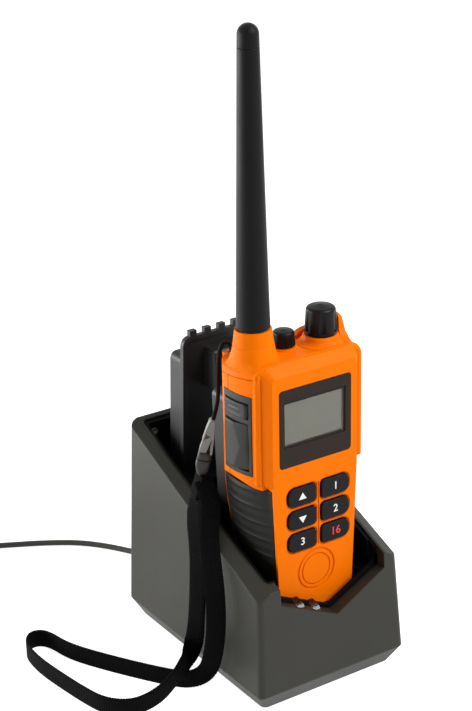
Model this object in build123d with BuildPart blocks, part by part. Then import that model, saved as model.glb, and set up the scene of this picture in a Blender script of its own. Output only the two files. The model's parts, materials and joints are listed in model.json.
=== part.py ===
"""VHF handheld radio standing in its two-bay charger, with a spare battery, a wrist lanyard and the charger lead.

Millimetres, +Z up. The origin is on the floor under the middle of the charger. The radio's face looks along -Y.
"""
from build123d import *
from math import atan2, cos, degrees, pi, radians, sin, tan
import os

os.makedirs("parts", exist_ok=True)

# ---- fits and clearances ----
shaft_clearance = 0.05      # radial, a shaft in its hole
seat_gap = 0.10             # pieces screwed or clipped to each other
slide_gap = 0.30            # pieces that slide past or lift away from each other
seam_gap = 0.60             # between the two casing halves, filled by the gasket
reveal = 0.30               # groove between the top cap and the casing

# ---- charger ----
charger_width = 93.8
charger_depth = 132.8
plinth_height = 10.9
plinth_inset = 5.6
foot_height = 0.8
side_draft = 0.046          # width lost per side for each millimetre of height
front_draft = 0.073
back_draft = 0.009
rim_front_z = 64.6          # outer rim height at the front corners
rim_back_z = 116.2          # outer rim height at the back corners
rim_bevel = 6.0
rim_rise = 3.5
rim_land = 1.5
corner_radius = 3.2
charger_wall = 2.5
notch_bottom_z = 43.4
notch_bottom_x = 4.1
notch_left_z = 59.3
notch_left_x = -30.8
notch_right_z = 60.0
notch_right_x = 35.8
lip_step = 2.4              # the bay tray's edge stands this far above the housing's notch

# ---- bay tray ----
tray_wall = 2.0
bay_floor_z = 43.7
tray_bottom_z = 36.0
guide_top_z = 56.0
divider_thickness = 4.0
rear_deck_z = 96.0
battery_floor_z = 63.3
post_radius = 4.0
pilot_radius = 1.4
post_x = 28.0
post_y = 48.0

# ---- radio ----
face_y = -50.7
back_y = -12.0
radio_bottom_z = bay_floor_z + slide_gap
head_half_width = 34.8      # at the widest of the bowed sides
frame_half_width = 29.4     # at the front, behind the bevel round the face
frame_top_z = 184.0
head_bottom_z = 117.5
head_top_z = 181.5
head_chamfer_depth = 5.2
head_chamfer_side = 3.0
side_radius = 37.0
side_centre_y = -26.0
rib_x = 30.3                # upright ribs beside the frame
rib_y = -43.1
rib_radius = 1.8
rib_bottom_z = 119.5
rib_top_z = 181.0
head_chamfer_top = 2.6
head_back_radius = 8.5
head_edge_radius = 5.5      # round the edges of the sides
face_half_bottom = 23.0
face_half_top = 26.4
body_top_z = 121.0
shell_wall = 2.0
split_y = -24.0
grip_recess = 1.7
grip_proud = 1.6
grip_front_margin = 1.4
grip_rear_margin = 1.3
grip_ridges = 7
ridge_depth = 0.9
cap_seam_front_z = 177.8
cap_seam_slope = 0.09

# ---- display ----
bezel_half_width = 22.3
bezel_bottom_z = 129.0
bezel_top_z = 171.8
bezel_thickness = 1.5
bezel_proud = 0.15
window_left_x = -20.0
window_right_x = 18.6
window_bottom_z = bezel_bottom_z + 11.0
window_top_z = bezel_top_z - 6.6
window_thickness = 1.0
window_ledge = 0.8

# ---- keypad ----
key_rows = (111.0, 98.0, 85.0)
key_left_x = -9.0
key_right_x = 12.0
key_width = 17.6
key_height = 10.4
key_outer_radius = 4.2
key_proud = 1.0
key_depth = 2.4
key_travel = 0.6
key_groove = 0.5

# ---- side panel and its two buttons ----
panel_front_y = -40.4
panel_rear_y = -19.8
panel_bottom_z = 124.0
panel_top_z = 167.6
panel_depth = 1.6
panel_proud = 0.3
ptt_front_y = -38.4
ptt_rear_y = -21.9
ptt_bottom_z = 126.6
ptt_top_z = 152.4
side_key_bottom_z = 155.4
side_key_top_z = 163.6
side_button_proud = 1.5
side_button_depth = 3.6
side_button_travel = 0.8

# ---- controls on the top ----
volume_x = 20.8
volume_y = -27.0
volume_radius = 8.6
volume_height = 15.7
channel_x = 0.2
channel_y = -23.0
channel_radius = 6.1
channel_height = 8.9
shaft_radius = 3.0
boss_height = 4.4           # under the volume knob
channel_boss_height = 0.9
knob_lift = 0.3             # the knobs turn this far above the cap

# ---- antenna ----
antenna_x = -23.6
antenna_y = -30.9
antenna_seam_z = 200.5
antenna_base_radius = 8.65
antenna_tip_radius = 5.3
antenna_tip_z = 347.1       # centre of the round tip
cone_top_radius = 9.4
cone_flare_radius = 13.2
stud_radius = 3.0
stud_length = 9.0

# ---- battery pack, measured down from its tabbed end ----
pack_half_width = 24.7      # at the tabbed end
pack_taper = 0.036          # half width gained per millimetre
pack_length = 110.0
plate_thickness = 3.0
case_start = 12.0
case_depth = 13.0
case_wall = 1.6
tab_count = 5
tab_pitch = 9.1
tab_width = 4.2
tab_height = 3.2
latch_start = 8.0
latch_length = 23.0
latch_half_width = 11.5
latch_depth = 9.0
plate_rim = 2.6
plate_recess = 1.2
spare_plate_y = 34.0
spare_top_z = battery_floor_z + slide_gap + pack_length

# ---- lead, coil and plug ----
lead_diameter = 3.4
coil_radius = 19.0
coil_band = 13.4
coil_height = 10.0
plug_radius = 4.6
plug_length = 22.0
barrel_radius = 2.75
barrel_length = 9.5

# ---- lanyard ----
strap_diameter = 3.9        # a round cord of the webbing's own cross-section
loop_diameter = 2.2

rim_angle = degrees(atan2(rim_back_z - rim_front_z, charger_depth - 5.5))
body_taper = (face_half_top - face_half_bottom) / (body_top_z - radio_bottom_z)


def half_face(z):
    """Half width of the radio's face at height z."""
    return face_half_bottom + body_taper * (z - radio_bottom_z)


def save(builder, label):
    builder.part.label = label
    export_step(builder.part, f"parts/{label}.step")


# ======================================================================= charger
rim_front_y = -charger_depth / 2 + front_draft * (rim_front_z - plinth_height)
rim_plane = Plane(
    origin=(0, rim_front_y, rim_front_z),
    x_dir=(1, 0, 0),
    z_dir=(0, -cos(radians(rim_angle)), -sin(radians(rim_angle))),
)
rim_half_width = charger_width / 2 - side_draft * ((rim_front_z + rim_back_z) / 2 - plinth_height)
inner_half_width = rim_half_width - rim_bevel - rim_land
land_height = rim_rise * cos(radians(rim_angle))
bay_front_y = -56.5
bay_back_y = charger_depth / 2 - 3.9
loft_top_z = rim_back_z + 14.0


def housing_section(z, inset):
    """Plan section of the tapered housing at height z, as centre y, width and depth."""
    rise = z - plinth_height
    front = -charger_depth / 2 + front_draft * rise + inset
    back = charger_depth / 2 - back_draft * rise - inset
    width = charger_width - 2 * side_draft * rise - 2 * inset
    return (front + back) / 2, width, back - front


def tapered_block(low_z, high_z, inset, radius):
    """The housing's tapered outer form between two heights, shrunk by inset."""
    with BuildPart() as block:
        for z in (low_z, high_z):
            centre_y, width, depth = housing_section(z, inset)
            with BuildSketch(Plane.XY.offset(z)):
                with Locations((0, centre_y)):
                    RectangleRounded(width, depth, radius)
        loft(ruled=True)
    return block.part


def roof_cutter(drop):
    """Everything above the sloping rim, lowered by drop along the rim's own upward direction."""
    bevel_slope = land_height / rim_bevel
    reach = 80.0
    edge = rim_half_width
    with BuildPart() as cutter:
        with BuildSketch(rim_plane):
            with BuildLine():
                Polyline(
                    (-reach, -bevel_slope * (reach - edge) - drop),
                    (-edge + rim_bevel, land_height - drop),
                    (edge - rim_bevel, land_height - drop),
                    (reach, -bevel_slope * (reach - edge) - drop),
                    (reach, 120),
                    (-reach, 120),
                    close=True,
                )
            make_face()
        extrude(amount=220, both=True)
    return cutter.part


def notch_cutter(rise, side_inset, front, back):
    """The V-shaped notch in the front wall, raised by rise."""
    with BuildPart() as cutter:
        with BuildSketch(Plane.XZ.offset(-front)):
            with BuildLine():
                Polyline(
                    (notch_left_x + side_inset, notch_left_z + rise),
                    (notch_bottom_x, notch_bottom_z + rise),
                    (notch_right_x - side_inset, notch_right_z + rise),
                    (notch_right_x - side_inset + 0.5, 130),
                    (notch_left_x + side_inset - 0.5, 130),
                    close=True,
                )
            make_face()
        extrude(amount=front - back)
    return cutter.part


roof = roof_cutter(0)
roof_below_rim = roof_cutter(5.0)
roof_tray = roof_cutter(1.0)

core_block = tapered_block(plinth_height - 1, loft_top_z, charger_wall, corner_radius - charger_wall)
front_band = bay_front_y + charger_depth / 2

with BuildPart() as housing_core:
    add(core_block)
    add(roof_below_rim, mode=Mode.SUBTRACT)
    with Locations((0, bay_front_y - front_band / 2, tray_bottom_z + 50)):
        Box(charger_width, front_band, 100, mode=Mode.SUBTRACT)

tray_back_screw_x = inner_half_width - 6.2
tray_back_screw_xs = (-tray_back_screw_x, tray_back_screw_x)
tray_back_screw_z = 111.5
light_pipe_xs = (-16.6, -6.6)
light_pipe_width = 4.6
light_pipe_height = 18.0
light_pipe_z = 50.0
gland_z = 17.0
gland_hole_radius = 4.0
gland_radius = 3.9

housing_block = tapered_block(plinth_height, loft_top_z, 0, corner_radius)
front_notch = notch_cutter(0, 0, -charger_depth, bay_front_y + 3.5)

with BuildPart() as charger_housing:
    add(housing_block)
    add(roof, mode=Mode.SUBTRACT)
    add(housing_core.part, mode=Mode.SUBTRACT)
    with BuildSketch(Plane.XY.offset(tray_bottom_z - 1)):
        with Locations((0, (bay_front_y + bay_back_y) / 2)):
            RectangleRounded(2 * inner_half_width, bay_back_y - bay_front_y, 3)
    extrude(amount=150, mode=Mode.SUBTRACT)
    add(front_notch, mode=Mode.SUBTRACT)
    with Locations((0, charger_depth / 2, gland_z)):
        Cylinder(gland_hole_radius, 20, rotation=(90, 0, 0), mode=Mode.SUBTRACT)
    for x in light_pipe_xs:
        with Locations((x, bay_front_y - 1, light_pipe_z)):
            Box(light_pipe_width + 2 * seat_gap, 7, light_pipe_height, mode=Mode.SUBTRACT)
    for x in tray_back_screw_xs:
        with Locations((x, bay_back_y, tray_back_screw_z)):
            Cylinder(pilot_radius + seat_gap, 3.6, rotation=(90, 0, 0), mode=Mode.SUBTRACT)
save(charger_housing, "charger_housing")

# The two bays drop into the housing's opening, and the front one's edge forms the inner lip of the notch. They are
# drawn together and parted in the middle of the divider.
tray_half_width = inner_half_width - seat_gap
tray_front_y = bay_front_y + seat_gap
tray_back_y = bay_back_y - seat_gap
divider_y = 15.0
rear_bay_y = divider_y + divider_thickness
pocket_clearance = 0.5
pack_half_far = pack_half_width + pack_taper * pack_length
pocket_half_width = pack_half_far + pocket_clearance
pocket_front_y = spare_plate_y - pocket_clearance
pocket_back_y = spare_plate_y + plate_thickness + case_depth + pocket_clearance
guide_clearance = 0.8
guide_inner_x = face_half_top + grip_proud + guide_clearance - 1.5
guide_rear_y = back_y + plate_thickness + case_depth + 1.0
tray_notch = notch_cutter(lip_step, 1.2, -charger_depth, bay_front_y + 6)
tray_slots = [(x, y) for x in (-post_x, post_x) for y in (-post_y, post_y)]
tray_inside = 2 * (tray_half_width - tray_wall)
front_bay_depth = divider_y - (tray_front_y + tray_wall)
rear_bay_depth = tray_back_y - tray_wall - rear_bay_y

# Spring contacts under the radio and under the spare battery are set in the tray's floors.
radio_contact_spots = [(x, -38.0) for x in (-8.0, 0.0, 8.0)]
pack_contact_spots = [(x, spare_plate_y + plate_thickness + case_depth / 2) for x in (-8.0, 0.0, 8.0)]
contact_radius = 1.2

with BuildPart() as bay_tray:
    with BuildSketch(Plane.XY.offset(tray_bottom_z)):
        with Locations((0, (tray_front_y + tray_back_y) / 2)):
            RectangleRounded(2 * tray_half_width, tray_back_y - tray_front_y, 3 - seat_gap)
    extrude(amount=120)
    add(roof_tray, mode=Mode.SUBTRACT)
    # front bay
    with BuildSketch(Plane.XY.offset(bay_floor_z)):
        with Locations((0, (tray_front_y + tray_wall + divider_y) / 2)):
            RectangleRounded(tray_inside, front_bay_depth, 2)
    extrude(amount=120, mode=Mode.SUBTRACT)
    add(tray_notch, mode=Mode.SUBTRACT)
    # rear bay above its deck, then the pocket that holds the battery's lower end
    with BuildSketch(Plane.XY.offset(rear_deck_z)):
        with Locations((0, (rear_bay_y + tray_back_y - tray_wall) / 2)):
            RectangleRounded(tray_inside, rear_bay_depth, 2)
    extrude(amount=120, mode=Mode.SUBTRACT)
    with BuildSketch(Plane.XY.offset(battery_floor_z)):
        with Locations((0, (pocket_front_y + pocket_back_y) / 2)):
            Rectangle(2 * pocket_half_width, pocket_back_y - pocket_front_y)
    extrude(amount=120, mode=Mode.SUBTRACT)
    # hollow underneath
    with Locations((0, (rear_bay_y + pocket_front_y - tray_wall) / 2, tray_bottom_z)):
        Box(
            tray_inside, pocket_front_y - tray_wall - rear_bay_y, 2 * (rear_deck_z - tray_wall - tray_bottom_z),
            mode=Mode.SUBTRACT,
        )
    with Locations((0, (pocket_front_y + pocket_back_y) / 2, tray_bottom_z)):
        Box(
            tray_inside, pocket_back_y - pocket_front_y + 2 * tray_wall,
            2 * (battery_floor_z - tray_wall - tray_bottom_z),
            mode=Mode.SUBTRACT,
        )
    with Locations((0, (tray_front_y + tray_wall + divider_y) / 2, tray_bottom_z)):
        Box(tray_inside, front_bay_depth, 2 * (bay_floor_z - tray_wall - tray_bottom_z), mode=Mode.SUBTRACT)
    # side and rear guides of the front bay
    guide_width = tray_half_width - guide_inner_x
    for side in (-1, 1):
        with Locations((side * (guide_inner_x + guide_width / 2), -30, (bay_floor_z + guide_top_z) / 2)):
            Box(guide_width, 44, guide_top_z - bay_floor_z)
    with Locations((0, (guide_rear_y + divider_y) / 2, (bay_floor_z + guide_top_z) / 2 + 4)):
        Box(2 * tray_half_width, divider_y - guide_rear_y, guide_top_z - bay_floor_z + 8)
    # four posts reach down to the base plate
    with BuildSketch(Plane.XY.offset(plinth_height + seat_gap)):
        with Locations(*tray_slots):
            Circle(post_radius)
    extrude(amount=bay_floor_z - plinth_height - seat_gap - 0.5)
    with BuildSketch(Plane.XY.offset(plinth_height + seat_gap)):
        with Locations(*[spot for spot in tray_slots if spot[1] > 0]):
            Circle(post_radius)
    extrude(amount=battery_floor_z - plinth_height - seat_gap - 0.5)
    with BuildSketch(Plane.XY.offset(plinth_height + seat_gap)):
        with Locations(*tray_slots):
            Circle(pilot_radius)
    extrude(amount=14, mode=Mode.SUBTRACT)
    for x in light_pipe_xs:
        with Locations((x, bay_front_y + 1, light_pipe_z)):
            Box(light_pipe_width + 2 * seat_gap, 8, light_pipe_height, mode=Mode.SUBTRACT)
    with BuildSketch(Plane.XY.offset(tray_bottom_z)):
        with Locations(*radio_contact_spots, *pack_contact_spots):
            Circle(contact_radius + shaft_clearance)
    extrude(amount=40, mode=Mode.SUBTRACT)
    for x in tray_back_screw_xs:
        with Locations((x, tray_back_y, tray_back_screw_z)):
            Cylinder(pilot_radius + seat_gap, 9, rotation=(90, 0, 0), mode=Mode.SUBTRACT)
bay_seam_y = divider_y + divider_thickness / 2
for bay_name, side in (("radio_bay", -1), ("battery_bay", 1)):
    with BuildPart() as bay:
        add(bay_tray.part)
        with Locations((0, bay_seam_y + side * (100 + seat_gap / 2), 90)):
            Box(200, 200, 300, mode=Mode.INTERSECT)
    save(bay, bay_name)

# Base plate: a shallow tray whose bevelled rim is the plinth.
base_bottom_width = charger_width - 2 * plinth_inset
base_bottom_depth = charger_depth - 2 * plinth_inset
base_inside_width = base_bottom_width - 2 * charger_wall
base_inside_depth = base_bottom_depth - 2 * charger_wall
base_floor_z = foot_height + charger_wall
board_boss_height = 5.0
board_z = base_floor_z + board_boss_height
foot_radius = 5.5
foot_spots = [(x, y) for x in (-30.0, 30.0) for y in (-38.0, 38.0)]
board_spots = [(x, y) for x in (-24.0, 24.0) for y in (-14.0, 26.0)]
screw_head_radius = 2.8
screw_head_height = 1.6
screw_radius = 1.3
screw_boss_radius = 4.4

with BuildPart() as base_plate:
    with BuildSketch(Plane.XY.offset(foot_height)):
        RectangleRounded(base_bottom_width, base_bottom_depth, corner_radius)
    with BuildSketch(Plane.XY.offset(plinth_height)):
        RectangleRounded(charger_width, charger_depth, corner_radius)
    loft(ruled=True)
    with BuildSketch(Plane.XY.offset(base_floor_z)):
        RectangleRounded(base_inside_width, base_inside_depth, corner_radius - charger_wall)
    extrude(amount=20, mode=Mode.SUBTRACT)
    with BuildSketch(Plane.XY.offset(base_floor_z)):
        with Locations(*tray_slots):
            Circle(screw_boss_radius)
    extrude(amount=plinth_height - base_floor_z)
    with BuildSketch(Plane.XY.offset(base_floor_z)):
        with Locations(*board_spots):
            Circle(3.0)
    extrude(amount=board_boss_height)
    with BuildSketch(Plane.XY.offset(board_z)):
        with Locations(*board_spots):
            Circle(1.2)
    extrude(amount=2.4)
    with BuildSketch(Plane.XY):
        with Locations(*tray_slots):
            Circle(screw_radius + seat_gap)
    extrude(amount=plinth_height, mode=Mode.SUBTRACT)
    with BuildSketch(Plane.XY):
        with Locations(*tray_slots):
            Circle(screw_head_radius + seat_gap)
    extrude(amount=base_floor_z + 1.0, mode=Mode.SUBTRACT)
    with BuildSketch(Plane.XY):
        with Locations(*foot_spots):
            Circle(foot_radius + seat_gap)
    extrude(amount=foot_height + 1.0, mode=Mode.SUBTRACT)
save(base_plate, "base_plate")

with BuildPart() as rubber_feet:
    with BuildSketch(Plane.XY):
        with Locations(*foot_spots):
            Circle(foot_radius)
    extrude(amount=foot_height + 1.0)
    chamfer(rubber_feet.edges().group_by(Axis.Z)[0], 0.4)
save(rubber_feet, "rubber_feet")

with BuildPart() as base_screws:
    screw_seat_z = base_floor_z + 1.0
    with BuildSketch(Plane.XY.offset(screw_seat_z - screw_head_height)):
        with Locations(*tray_slots):
            Circle(screw_head_radius)
    extrude(amount=screw_head_height)
    with BuildSketch(Plane.XY.offset(screw_seat_z)):
        with Locations(*tray_slots):
            Circle(screw_radius)
    extrude(amount=16)
    with BuildSketch(Plane.XY.offset(screw_seat_z - screw_head_height)):
        with Locations(*tray_slots):
            RegularPolygon(1.3, 6)
    extrude(amount=1.0, mode=Mode.SUBTRACT)
save(base_screws, "base_screws")

with BuildPart() as tray_screws:
    with BuildSketch(Plane.XZ.offset(-(tray_back_y - tray_wall - 1.4))):
        with Locations(*[(x, tray_back_screw_z) for x in tray_back_screw_xs]):
            Circle(2.2)
    extrude(amount=-1.4)
    with BuildSketch(Plane.XZ.offset(-(tray_back_y - tray_wall))):
        with Locations(*[(x, tray_back_screw_z) for x in tray_back_screw_xs]):
            Circle(pilot_radius)
    extrude(amount=-(tray_wall + 1.6))
    with BuildSketch(Plane.XZ.offset(-(tray_back_y - tray_wall - 1.4))):
        with Locations(*[(x, tray_back_screw_z) for x in tray_back_screw_xs]):
            RegularPolygon(1.1, 6)
    extrude(amount=-0.8, mode=Mode.SUBTRACT)
save(tray_screws, "tray_screws")

board_thickness = 1.6
with BuildPart() as charger_board:
    with BuildSketch(Plane.XY.offset(board_z)):
        with Locations((0, 6)):
            RectangleRounded(58, 56, 2)
        with Locations(*board_spots):
            Circle(1.2 + seat_gap, mode=Mode.SUBTRACT)
    extrude(amount=board_thickness)
    # transformer, capacitor and connector
    for x, y, width, depth, height in ((-10, 4, 18, 16, 12), (13, 8, 8, 8, 10), (0, 27, 12, 9, 7)):
        with BuildSketch(Plane.XY.offset(board_z + board_thickness)):
            with Locations((x, y)):
                RectangleRounded(width, depth, 1)
        extrude(amount=height)
save(charger_board, "charger_board")

with BuildPart() as charge_contacts:
    for spots, top_z in ((radio_contact_spots, bay_floor_z), (pack_contact_spots, battery_floor_z)):
        with BuildSketch(Plane.XY.offset(top_z - tray_wall - 3)):
            with Locations(*spots):
                Circle(contact_radius)
        extrude(amount=tray_wall + 3)
        with BuildSketch(Plane.XY.offset(top_z - tray_wall - 3)):
            with Locations(*spots):
                Circle(contact_radius + 0.9)
        extrude(amount=3 - seat_gap)
save(charge_contacts, "charge_contacts")

# Two clear light pipes cross the notch's left edge. Each bends over both lips.
notch_slope = (notch_left_z - notch_bottom_z) / (notch_left_x - notch_bottom_x)
pipe_back_y = bay_front_y + tray_wall + 1.6
pipe_front_y = bay_front_y - 4.3
with BuildPart() as light_pipes:
    for x in light_pipe_xs:
        lip_z = notch_bottom_z + notch_slope * (x + light_pipe_width / 2 - notch_bottom_x)
        top_z = lip_z + lip_step + 1.0
        low_z = light_pipe_z - light_pipe_height / 2 + seat_gap
        with BuildSketch(Plane.YZ.offset(x - light_pipe_width / 2)):
            with BuildLine():
                Polyline(
                    (pipe_back_y, top_z),
                    (pipe_back_y, low_z),
                    (pipe_front_y, low_z),
                    (pipe_front_y, lip_z - 1.0),
                )
                EllipticalCenterArc(
                    (pipe_back_y, lip_z - 1.0), pipe_back_y - pipe_front_y, top_z - lip_z + 1.0,
                    start_angle=90, arc_size=90,
                )
            make_face()
        extrude(amount=light_pipe_width)
save(light_pipes, "light_pipes")

# Strain relief on the back, around a horizontal axis.
gland_tip_y = 79.0
with BuildPart() as cable_gland:
    with BuildSketch(Plane.YZ):
        with BuildLine():
            Polyline(
                (charger_depth / 2 - 6, gland_z),
                (charger_depth / 2 - 6, gland_z + gland_radius + 1.4),
                (charger_depth / 2 - charger_wall - 0.5, gland_z + gland_radius + 1.4),
                (charger_depth / 2 - charger_wall - 0.5, gland_z + gland_radius),
                (charger_depth / 2 + 0.5, gland_z + gland_radius),
                (charger_depth / 2 + 0.5, gland_z + gland_radius + 0.9),
                (charger_depth / 2 + 2.0, gland_z + gland_radius + 0.9),
                (charger_depth / 2 + 2.5, gland_z + 3.1),
                (gland_tip_y, gland_z + 2.3),
                (gland_tip_y, gland_z),
                close=True,
            )
        make_face()
    revolve(axis=Axis((0, 0, gland_z), (0, 1, 0)))
save(cable_gland, "cable_gland")


def bend_radii(points):
    """For each corner, 0.45 of the shorter run over the tangent of half the turn."""
    radii = []
    for before, here, after in zip(points, points[1:], points[2:]):
        first = Vector(*here) - Vector(*before)
        second = Vector(*after) - Vector(*here)
        turn = first.get_angle(second)
        radii.append(0.45 * min(first.length, second.length) / tan(radians(turn) / 2))
    return radii


def cord_tube(points, diameter, label):
    """A round tube along straight runs joined by tangent arcs."""
    radii = bend_radii(points)
    with BuildPart() as tube:
        with BuildLine() as route:
            FilletPolyline(*points, radius=radii)
        with BuildSketch(Plane(origin=route.wires()[0] @ 0, z_dir=route.wires()[0] % 0)):
            Circle(diameter / 2)
        sweep(path=route.wires()[0])
    length = route.wires()[0].length
    share = tube.part.volume / (pi * diameter**2 / 4 * length)
    print(label, "length", round(length, 1), "volume share", round(share, 4), "radii", [round(r, 1) for r in radii])
    return tube


# ---- the charger lead lies on the floor behind the charger and runs off to the left ----
lead_z = lead_diameter / 2 + 0.1
lead_points = [
    (0.0, gland_tip_y, gland_z),
    (0.0, 88.5, gland_z),
    (-0.6, 98.0, 12.3),
    (-2.7, 107.0, 6.0),
    (-6.5, 115.5, lead_z + 0.3),
    (-12.3, 127.0, lead_z),
    (-20.5, 140.5, lead_z),
    (-32.5, 154.5, lead_z),
    (-50.0, 166.3, lead_z),
    (-66.5, 175.2, lead_z),
    (-84.5, 183.0, lead_z),
]
charger_lead = cord_tube(lead_points, lead_diameter, "charger_lead")
save(charger_lead, "charger_lead")

# The rest of the lead is wound into a flat coil on the floor, closed, with short round stubs for its two ends.
plug_z = plug_radius
tail_points = [
    (-131.2, 151.5, 7.9),
    (-132.6, 143.4, 7.9),
    (-133.7, 135.3, 6.3),
    (-134.0, 127.2, plug_z),
    (-134.0, 119.2, plug_z),
]
coil_start = Vector(*lead_points[-1])
coil_heading = (coil_start - Vector(*lead_points[-2])).normalized()
coil_side = Vector(-coil_heading.Y, coil_heading.X, 0)
stub_length = 20.0
coil_centre = coil_start + coil_heading * stub_length + coil_side * coil_radius
tail_start = Vector(*tail_points[0])
tail_heading = (Vector(*tail_points[1]) - tail_start).normalized()
tail_stub = 20.0

with BuildPart() as lead_coil:
    with BuildSketch(Plane.XZ.offset(-coil_centre.Y)):
        with Locations((coil_centre.X + coil_radius, coil_height / 2)):
            RectangleRounded(coil_band, coil_height, 2.5)
    revolve(axis=Axis((coil_centre.X, coil_centre.Y, 0), (0, 0, 1)))
    with BuildSketch(Plane(origin=coil_start, z_dir=coil_heading)):
        Circle(lead_diameter / 2)
    extrude(amount=stub_length)
    with BuildSketch(Plane(origin=tail_start, z_dir=-tail_heading)):
        Circle(lead_diameter / 2)
    extrude(amount=tail_stub)
save(lead_coil, "lead_coil")
print("coil centre", coil_centre, "tail stub reaches", tail_start - tail_heading * tail_stub)

lead_tail = cord_tube(tail_points, lead_diameter, "lead_tail")
save(lead_tail, "lead_tail")

plug_start = tail_points[-1]
with BuildPart() as dc_plug:
    with BuildSketch(Plane(origin=plug_start, x_dir=(0, -1, 0), z_dir=(0, 0, 1))):
        with BuildLine():
            Polyline(
                (0, 0),
                (0, 2.3),
                (7, 2.9),
                (8, plug_radius),
                (plug_length, plug_radius),
                (plug_length, barrel_radius),
                (plug_length + barrel_length, barrel_radius),
                (plug_length + barrel_length, 0),
                close=True,
            )
        make_face()
    revolve(axis=Axis(plug_start, (0, -1, 0)))
    with BuildSketch(Plane(origin=plug_start, z_dir=(0, -1, 0)).offset(plug_length + barrel_length - 7)):
        Circle(1.05)
    extrude(amount=8, mode=Mode.SUBTRACT)
save(dc_plug, "dc_plug")


# ======================================================================= radio
def body_block(inset, low_z, high_z, front, back):
    """The lower body as a tapered prism between two heights and two depths, shrunk sideways by inset."""
    with BuildPart() as block:
        with BuildSketch(Plane.XZ.offset(-front)):
            with BuildLine():
                Polyline(
                    (-half_face(low_z) + inset, low_z),
                    (half_face(low_z) - inset, low_z),
                    (half_face(high_z) - inset, high_z),
                    (-half_face(high_z) + inset, high_z),
                    close=True,
                )
            make_face()
        extrude(amount=front - back)
    return block.part


def head_block(inset, radius, raised_top=None):
    """The head: bowed sides, a bevelled frame round the face and a rounded back, shrunk by inset."""
    low_z = head_bottom_z + inset
    high_z = head_top_z - inset
    frame_high = raised_top or high_z
    centre_z = (low_z + high_z) / 2
    shoulder_y = face_y + head_chamfer_depth
    rear_y = back_y - inset
    with BuildPart() as block:
        with BuildSketch(Plane.XY.offset(low_z)) as plan:
            with Locations((0, (shoulder_y + rear_y) / 2)):
                Rectangle(100, rear_y - shoulder_y)
            with Locations((side_radius - head_half_width, side_centre_y)):
                Circle(side_radius - inset, mode=Mode.INTERSECT)
            with Locations((head_half_width - side_radius, side_centre_y)):
                Circle(side_radius - inset, mode=Mode.INTERSECT)
            fillet(plan.vertices().filter_by(lambda corner: corner.Y > rear_y - 0.1), head_back_radius - inset)
        extrude(amount=high_z - low_z)
        with BuildSketch(Plane.XZ.offset(-shoulder_y + 1)):
            with Locations((0, centre_z)):
                RectangleRounded(2 * (head_half_width - inset), high_z - low_z, radius)
        extrude(amount=-60, mode=Mode.INTERSECT)
        with BuildSketch(Plane.XZ.offset(-shoulder_y)):
            with Locations((0, (low_z + frame_high) / 2)):
                RectangleRounded(2 * (frame_half_width - inset), frame_high - low_z, radius)
        with BuildSketch(Plane.XZ.offset(-face_y - inset)):
            front_high = head_top_z - inset - head_chamfer_top
            with Locations((0, (low_z + 0.01 + front_high) / 2)):
                RectangleRounded(
                    2 * (frame_half_width - inset - head_chamfer_side), front_high - low_z - 0.01,
                    max(radius - 2, 0.5),
                )
        loft(ruled=True)
        if raised_top:
            with BuildSketch(Plane.XZ.offset(-shoulder_y)):
                with Locations((0, (low_z + frame_high) / 2)):
                    RectangleRounded(2 * (frame_half_width - inset), frame_high - low_z, radius)
            extrude(amount=-(cap_front_y - reveal - shoulder_y))
    return block.part


def side_slab(proud, depth, front, back, low_z, high_z):
    """A slab that follows the bow of the head's left side, from proud of the surface to a depth below it."""
    with BuildPart() as slab:
        with BuildSketch(Plane.XY.offset(low_z)):
            with Locations((side_radius - head_half_width, side_centre_y)):
                Circle(side_radius + proud)
                Circle(side_radius - depth, mode=Mode.SUBTRACT)
            with Locations((-head_half_width, (front + back) / 2)):
                Rectangle(30, back - front, mode=Mode.INTERSECT)
        extrude(amount=high_z - low_z)
    return slab.part


def cap_region(drop, front):
    """Everything above the slanted seam under the top cap and behind the front rim."""
    def seam_z(y):
        return cap_seam_front_z - cap_seam_slope * (y + 47) - drop

    with BuildPart() as region:
        with BuildSketch(Plane.YZ.offset(-60)):
            with BuildLine():
                Polyline((front, seam_z(front)), (0, seam_z(0)), (0, 240), (front, 240), close=True)
            make_face()
        extrude(amount=120)
    return region.part


def key_shape(x, z, grow):
    """A key's outline: large corners on its outer side, small ones towards the other column."""
    outer, inner = (0, -1) if x < 0 else (-1, 0)
    with BuildSketch(Plane.XZ.offset(-face_y)) as outline:
        with Locations((x, z)):
            Rectangle(key_width + 2 * grow, key_height + 2 * grow)
        fillet(outline.vertices().group_by(Axis.X)[outer], key_outer_radius + grow)
        fillet(outline.vertices().group_by(Axis.X)[inner], key_outer_radius / 2 + grow)
    return outline.sketch


body_outer = body_block(0, radio_bottom_z, body_top_z, face_y, back_y)
grip_cut = body_block(grip_recess, radio_bottom_z - 5, 119.0, face_y + grip_front_margin, back_y - grip_rear_margin)
side_band = body_block(-12, radio_bottom_z - 5, head_bottom_z, face_y + grip_front_margin, back_y - grip_rear_margin)
body_inner_inset = grip_recess + 1.8
body_inner = body_block(
    body_inner_inset, radio_bottom_z + shell_wall, body_top_z + 6, face_y + shell_wall, back_y - shell_wall
)
cap_front_y = face_y + head_chamfer_depth + 1.3
head_outer = head_block(0, head_edge_radius, frame_top_z)
head_inner = head_block(shell_wall, 2.5)
key_clearance = 0.3
main_board_y = -37.5
board_pegs = [(-13.0, 62.0), (13.0, 62.0), (-20.0, 131.5), (20.0, 131.5)]
peg_radius = 1.8
microphone_x = 0.0
microphone_z = 52.4
key_spots = [(x, z) for z in key_rows for x in (key_left_x, key_right_x)]
head_columns = [(x, z) for x in (-26.0, 26.0) for z in (121.5, 168.0)]
body_columns = [(-15.5, 51.0), (15.5, 51.0)]
column_spots = head_columns + body_columns
column_radius = 3.0
case_screw_radius = 1.2
case_screw_head = 2.3
foot_bar_height = 4.6
foot_bar_depth = 4.8
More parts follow.
